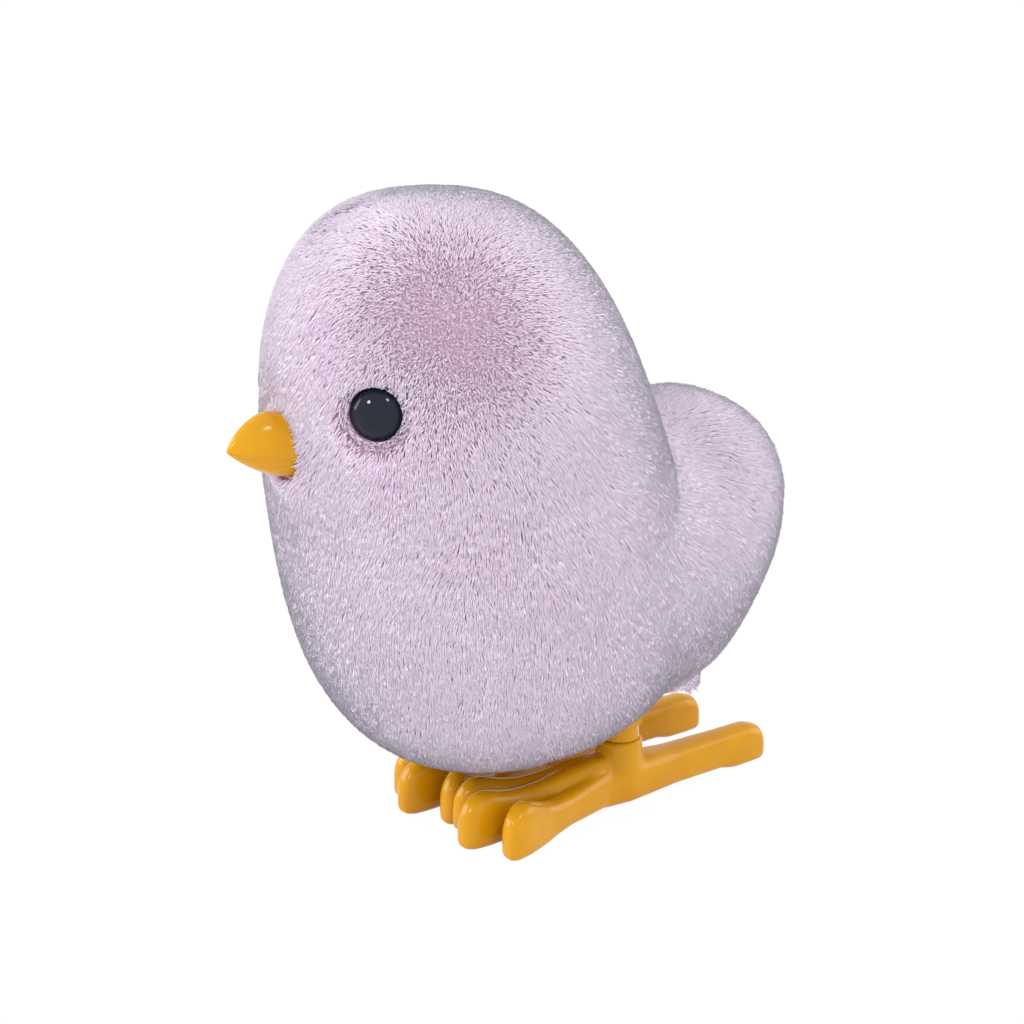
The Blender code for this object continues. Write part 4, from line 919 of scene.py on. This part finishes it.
def beak_rows():
    """Rings from base to tip: each a half ellipse above, a bead at the lip, and a narrower half below."""
    share = np.linspace(0, 0.99, 64)[:, None]
    turn = full_turn(128)[None]
    front = body_surface(np.linspace(0.3, 2.4, 800), np.full(800, -math.pi / 2))
    front_y = np.interp(-BEAK_HEIGHT, -front[:, 2], front[:, 1])
    nose = np.maximum(share - BEAK_NOSE_START, 0) / (1 - BEAK_NOSE_START)
    upper = (BEAK_HALF_HEIGHT + BEAK_LIP_DROP) * (1 - nose**1.5) ** 0.75
    lower = (BEAK_HALF_HEIGHT - BEAK_LIP_DROP) * (1 - share**2.2)
    wide = BEAK_HALF_WIDTH * np.cos(math.pi / 2 * share) ** 0.7
    below = 1 / (1 + np.exp(np.sin(turn) * 26 + 2.0))
    across = wide * np.cos(turn)
    bead = BEAK_BEAD * np.exp(-((np.sin(turn) / 0.10) ** 2)) * (1 - share)
    across = across + np.sign(across) * (bead - np.minimum(BEAK_LIP * below, np.abs(across) / 2))
    up = np.where(np.sin(turn) > 0, upper, lower) * np.sin(turn)
    up = up + BEAK_HEIGHT - BEAK_LIP_DROP + BEAK_TIP_RISE * share
    along = front_y + BEAK_SINK - (BEAK_SINK + BEAK_LENGTH) * share + 0 * turn
    return np.stack((across + ORIGIN[0], along, up), -1)


class CHICK_OT_beak(Operator):
    """Moulded beak with upper and lower half"""

    bl_idname = "chick.beak"
    bl_label = "Beak"

    def execute(self, context):
        beak = new_piece("beak_halves", *closed_grid(beak_rows()), "chick", "orange_plastic")
        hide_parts("beak")
        dress(beak, orange_finish("beak_orange", context.scene.chick_plastic))
        return {"FINISHED"}


# Feet


def foot_section(across, along, half_width, bottom, top):
    """Rings of a foot: flat below with small chamfers, a flattened arc above, for arrays of stations.

    The sole is raised by what the finished skin swells.
    """
    across, along, half_width, bottom, top = (v[:, None] for v in (across, along, half_width, bottom, top))
    arc = np.linspace(0, math.pi, 33)[None]
    bottom = bottom + FOOT_SWELL
    middle = bottom + (top - bottom) * 0.45
    edge = np.minimum(SOLE_CHAMFER, half_width * 0.4)
    side = half_width * signed_power(np.cos(arc), 0.7)
    rise = middle + (top - middle) * np.sin(arc) ** 0.7
    x = np.concatenate((half_width - edge, half_width, side, -half_width, edge - half_width), 1)
    z = np.concatenate((bottom, bottom + edge, rise, bottom + edge, bottom), 1)
    return np.stack((across + x, along + 0 * x, z), -1)


def between(stations, *tables):
    """Even shares from 0 to 1, and the values of each table there, straight from station to station."""
    share = np.linspace(0, 1, FOOT_ROWS)
    return share, *(np.interp(share, stations, values) for values in tables)


def toe_rows(spread, setback, tops):
    """Toe: its root is lifted off the floor, its waist is low, and its tip is a tall round bulb."""
    stations = (0.00, 0.12, 0.30, 0.48, 0.60, 0.68, 0.75, 0.81, 0.86, 0.91, 0.95, 0.985, 1.00)
    widths = (1.25, 1.20, 1.12, 1.00, 0.96, 0.98, 1.03, 1.10, 1.14, 1.10, 1.00, 0.80, 0.40)
    lifts = (1.0, 1.0, 1.0, 1.0, 0.6, 0.2, 0.0, 0.0, 0.0, 0.0, 0.0, 0.1, 0.6)
    share, width, top, bottom = between(stations, widths, tops, lifts)
    along = TOE_ROOT_Y + (TOE_TIP_Y + setback - TOE_ROOT_Y) * share
    return foot_section(spread * share, along, TOE_HALF_WIDTH * width, TOE_LIFT * bottom, top)


def web_rows():
    """Web between the toes: as wide as they spread, lower and lower from their root to their bulbs."""
    share = np.linspace(0.05, 0.64, 50)
    top = np.interp(share, (0.05, 0.18, 0.30, 0.45, 0.64), (0.0086, 0.0076, 0.0064, 0.0049, 0.0030))
    low, high = TOE_SPREADS[0] * share, TOE_SPREADS[2] * share
    along = TOE_ROOT_Y + (TOE_TIP_Y - TOE_ROOT_Y) * share
    half_width = (high - low) / 2 + TOE_HALF_WIDTH * 0.7
    return foot_section((low + high) / 2, along, half_width, ARCH_LIFT * 1.2 + 0 * share, top)


def bar_rows():
    """Bar from the toes' root past the ankle to the heel, arched below."""
    stations = (0.00, 0.20, 0.31, 0.42, 0.55, 0.78, 0.84, 0.93, 0.98, 1.00)
    widths = (0.75, 1.30, 1.50, 1.30, 1.05, 0.92, 0.93, 0.92, 0.86, 0.64)
    tops = (0.0056, 0.0062, 0.0070, 0.0067, 0.0063, 0.0062, 0.0062, 0.0062, 0.0056, 0.0042)
    lifts = (1.0, 1.0, 1.0, 1.0, 1.0, 0.8, 0.0, 0.0, 0.0, 0.0)
    share, width, top, bottom = between(stations, widths, tops, lifts)
    along = BAR_FRONT_Y + (HEEL_END_Y - BAR_FRONT_Y) * share
    return foot_section(0 * share, along, HEEL_HALF_WIDTH * width, ARCH_LIFT * bottom, top)[::-1]


def ankle_rows():
    """Boss of the ankle: a ring carried up from inside the bar to the joint with the leg."""
    turn = full_turn(72)[None]
    rise = np.linspace(0.0050, ANKLE_TOP, 30)[::-1, None]
    flare = 1 + 0.06 * np.clip(1 - (rise - 0.0065) / 0.0030, 0, 1) ** 2
    radius = ANKLE_RADIUS * flare
    return np.stack((radius * np.cos(turn), ANKLE_Y + radius * np.sin(turn), rise + 0 * turn), -1)


def moulded(piece, voxel):
    """One skin round overlapping forms: remeshed in cells, smoothed into fillets, swollen to regain size."""
    merge = piece.modifiers.new("merge", "REMESH")
    merge.mode = "VOXEL"
    merge.voxel_size = voxel
    merge.use_smooth_shade = True
    soften = piece.modifiers.new("soften", "SMOOTH")
    soften.factor = 0.5
    soften.iterations = FOOT_SMOOTHING
    swell = piece.modifiers.new("swell", "DISPLACE")
    swell.strength = FOOT_SWELL
    swell.mid_level = 0.0
    shown = piece.evaluated_get(bpy.context.evaluated_depsgraph_get())
    mesh = bpy.data.meshes.new_from_object(shown)
    piece.modifiers.clear()
    rough, piece.data = piece.data, mesh
    bpy.data.meshes.remove(rough)


class CHICK_OT_feet(Operator):
    """Two moulded feet, three toes and a heel bar each"""

    bl_idname = "chick.feet"
    bl_label = "Feet"

    def execute(self, context):
        settings = context.scene.chick_plastic
        forms = [toe_rows(*toe) for toe in zip(TOE_SPREADS, TOE_SETBACKS, TOE_TOPS)]
        forms += [web_rows(), bar_rows(), ankle_rows()]
        points, faces, start = [], [], 0
        for rows in forms:
            form_points, form_faces = closed_grid(rows)
            points.append(form_points)
            faces += [f + start for f in form_faces]
            start += len(form_points)
        points = np.concatenate(points)
        material = orange_finish("foot_orange", settings)
        for side, sign in (("left", 1), ("right", -1)):
            place = ORIGIN + (sign * FOOT_X, 0.0, 0.0)
            name, body = f"{side}_foot_moulding", f"{side}_stepper"
            foot = new_piece(name, points + place, faces, body, "orange_plastic")
            moulded(foot, settings.fillet_voxel)
            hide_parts(f"{side}_foot")
            dress(foot, material)
        return {"FINISHED"}


# Knob, legs and the pieces inside


def knob_rows():
    """Profile carried round the arbor: hub, flat back, rounded ribbed edge and a dished face.

    The ribs are a cosine of the turn, strongest on the edge.
    """
    low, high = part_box("winding_knob")
    outer = low[0]
    inner = high[0] - outer
    dish = ((0.0007, 0.0005), (0.0006, 0.0030), (0.0, 0.0042))
    front = ((0.0, 0.0046), (0.0002, 0.0055), (0.0009, 0.0061), (0.0024, 0.0062))
    back = ((0.0041, 0.0061), (0.0048, 0.0055), (KNOB_THICKNESS, 0.0046), (KNOB_THICKNESS, 0.0029))
    profile = np.array((*dish, *front, *back, (inner, 0.0029), (inner, 0.0018)))
    share = np.linspace(0, len(profile) - 1, 90)
    x, radius = (np.interp(share, np.arange(len(profile)), line)[:, None] for line in profile.T)
    turn = full_turn(168)[None]
    ribs = KNOB_RIB_HEIGHT * np.cos(KNOB_RIBS * turn) * np.clip((radius - 0.0050) / 0.0010, 0, 1)
    ribs = ribs * np.clip(1 - (x - KNOB_THICKNESS) * 1e5, 0, 1)
    radius = radius + ribs
    y, z = WINDER[1] + radius * np.cos(turn), WINDER[2] + radius * np.sin(turn)
    return np.stack((x + outer + 0 * turn, y, z), -1)


class CHICK_OT_winding_knob(Operator):
    """Ribbed winding knob on the chick's right side"""

    bl_idname = "chick.winding_knob"
    bl_label = "Winding knob"

    def execute(self, context):
        knob = new_piece("ribbed_knob", *closed_grid(knob_rows()), "winder", "orange_plastic")
        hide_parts("winding_knob")
        dress(knob, orange_finish("knob_orange", context.scene.chick_plastic))
        return {"FINISHED"}


class CHICK_OT_inner_finishes(Operator):
    """Finishes of legs, former, base plate and motor"""

    bl_idname = "chick.inner_finishes"
    bl_label = "Inner finishes"

    def execute(self, context):
        settings = context.scene.chick_plastic
        finishes = {
            "orange_plastic": orange_finish("leg_orange", settings),
            "eye_black": plastic_finish("shank_black", Vector(settings.eye), Vector(settings.eye) * 0.7, 0.2),
            "lilac_plush": backing_finish("plush_backing", context.scene.chick_plush),
        }
        plastics = {
            "white_plastic": ("former_white", (0.80, 0.79, 0.76), (0.74, 0.73, 0.70), 0.42),
            "grey_plastic": ("motor_grey", (0.38, 0.39, 0.40), (0.33, 0.34, 0.35), 0.45),
            "cream_nylon": ("gear_cream", (0.82, 0.76, 0.60), (0.75, 0.68, 0.51), 0.38),
        }
        metals = {
            "steel": ("turned_steel", (0.62, 0.63, 0.64), (0.48, 0.49, 0.50), 0.28, (1.0, 6.0, 6.0)),
            "spring_steel": ("blued_steel", (0.27, 0.29, 0.35), (0.18, 0.20, 0.25), 0.3, (8.0, 1.0, 1.0)),
            "brass": ("stamped_brass", (0.76, 0.56, 0.23), (0.62, 0.43, 0.15), 0.3, (1.0, 3.0, 3.0)),
        }
        finishes.update({slot: plastic_finish(*values) for slot, values in plastics.items()})
        finishes.update({slot: metal_finish(*values) for slot, values in metals.items()})
        for subpart in frame["record"]["subparts"]:
            dress(frame["nodes"][subpart["node"]], finishes[subpart["material_slot"]])
        return {"FINISHED"}


# Stage


def add_lamp(name, place, aim, size, power):
    light = bpy.data.lights.new(name, "AREA")
    light.shape = "DISK"
    light.size = size
    light.energy = power
    lamp = new_object(name, light)
    lamp.location = place
    lamp.rotation_euler = (aim - place).to_track_quat("-Z", "Y").to_euler()


def show_white(owner, lit, white, surface, share):
    """Join a lit shader to a surface, with a white one in its place for a share of what is seen.

    Seen are rays from the camera, mirrored rays and rays through clear pieces.
    """
    path = add_node(owner, "LightPath")
    seen = path.outputs["Is Camera Ray"]
    for kind in ("Is Glossy Ray", "Is Transmission Ray"):
        most = add_node(owner, "Math", operation="MAXIMUM")
        join(owner, (seen, most.inputs[0]), (path.outputs[kind], most.inputs[1]))
        seen = most.outputs[0]
    part = add_node(owner, "Math", operation="MULTIPLY")
    part.inputs[1].default_value = share
    mixed = add_node(owner, "MixShader")
    join(
        owner,
        (seen, part.inputs[0]),
        (part.outputs[0], mixed.inputs[0]),
        (lit.outputs[0], mixed.inputs[1]),
        (white.outputs[0], mixed.inputs[2]),
        (mixed.outputs[0], surface),
    )


class CHICK_OT_stage(Operator):
    """White floor and surround, lamps and the camera"""

    bl_idname = "chick.stage"
    bl_label = "Stage"

    def execute(self, context):
        settings = context.scene.chick_stage
        scene = context.scene
        scene.view_settings.view_transform = "Standard"
        aim = Vector(ORIGIN) + Vector((0, 0, settings.aim_height))
        level = math.cos(settings.elevation)
        right = Vector((math.cos(settings.azimuth), math.sin(settings.azimuth), 0))
        toward = Vector((level * right.y, -level * right.x, math.sin(settings.elevation)))
        up = right.cross(-toward)

        lens = bpy.data.cameras.new("camera")
        lens.lens = LENS_LENGTH
        lens.shift_x, lens.shift_y = LENS_SHIFT
        camera = new_object("camera", lens)
        camera.location = aim + toward * settings.distance
        camera.rotation_euler = (-toward).to_track_quat("-Z", "Y").to_euler()
        scene.camera = camera

        lamps = (
            ("key_lamp", (0.70, -0.62, 0.37), 0.12, settings.key_power),
            ("fill_lamp", (0.78, 0.31, 0.54), 0.12, settings.fill_power),
            ("left_softbox", (-0.12, -0.92, 0.36), 0.5, settings.side_power),
            ("right_softbox", (-0.12, 0.92, 0.36), 0.5, settings.side_power * RIGHT_SHARE),
        )
        for name, (ahead, across, above), size, power in lamps:
            place = aim + (toward * ahead + right * across + up * above) * LAMP_DISTANCE
            add_lamp(name, place, aim, size, power)

        world = bpy.data.worlds.new("surround")
        world.use_nodes = True
        world.node_tree.nodes.clear()
        lit = add_node(world, "Background", Color=(0.97, 0.98, 1.0, 1), Strength=settings.ambient)
        white = add_node(world, "Background", Color=(1, 1, 1, 1))
        out = add_node(world, "OutputWorld")
        show_white(world, lit, white, out.inputs["Surface"], 1.0)
        scene.world = world

        mesh = bpy.data.meshes.new("floor")
        corners = [(x * FLOOR_REACH, y * FLOOR_REACH, 0) for x, y in ((-1, -1), (1, -1), (1, 1), (-1, 1))]
        mesh.from_pydata(corners, [], [(0, 1, 2, 3)])
        floor = new_object("floor", mesh)
        grey = (0.93, 0.93, 0.93, 1)
        material, shader = new_finish("floor_white", 0.9, Base_Color=grey, Specular_IOR_Level=0.1)
        glow = add_node(material, "Emission", Color=(1, 1, 1, 1), Strength=1.02)
        out = material.node_tree.nodes["Material Output"]
        show_white(material, shader, glow, out.inputs["Surface"], FLOOR_WHITE)
        mesh.materials.append(material)
        return {"FINISHED"}


class CHICK_PT_pieces(Panel):
    """Pieces of the chick, in the order in which they are made"""

    bl_label = "Plush wind-up chick"
    bl_idname = "CHICK_PT_pieces"
    bl_space_type = "VIEW_3D"
    bl_region_type = "UI"
    bl_category = "Chick"

    def draw(self, context):
        for operator in OPERATORS:
            self.layout.operator(operator.bl_idname)
        for group in SETTINGS:
            box = self.layout.box()
            values = getattr(context.scene, group)
            for name in values.__annotations__:
                box.prop(values, name)


OPERATORS = (
    CHICK_OT_stage,
    CHICK_OT_inner_finishes,
    CHICK_OT_plush_body,
    CHICK_OT_plush_rump,
    CHICK_OT_eyes,
    CHICK_OT_beak,
    CHICK_OT_feet,
    CHICK_OT_winding_knob,
)
SETTINGS = {"chick_plush": PlushSettings, "chick_plastic": PlasticSettings, "chick_stage": StageSettings}
CLASSES = (*SETTINGS.values(), *OPERATORS, CHICK_PT_pieces)


def register():
    for cls in CLASSES:
        bpy.utils.register_class(cls)
    for name, group in SETTINGS.items():
        setattr(bpy.types.Scene, name, PointerProperty(type=group))


def unregister():
    for name in SETTINGS:
        delattr(bpy.types.Scene, name)
    for cls in reversed(CLASSES):
        bpy.utils.unregister_class(cls)


def main():
    register()
    bpy.ops.chick.stage()
    bpy.ops.chick.inner_finishes()
    bpy.ops.chick.plush_body()
    bpy.ops.chick.plush_rump()
    bpy.ops.chick.eyes()
    bpy.ops.chick.beak()
    bpy.ops.chick.feet()
    bpy.ops.chick.winding_knob()


if __name__ == "__main__":
    main()
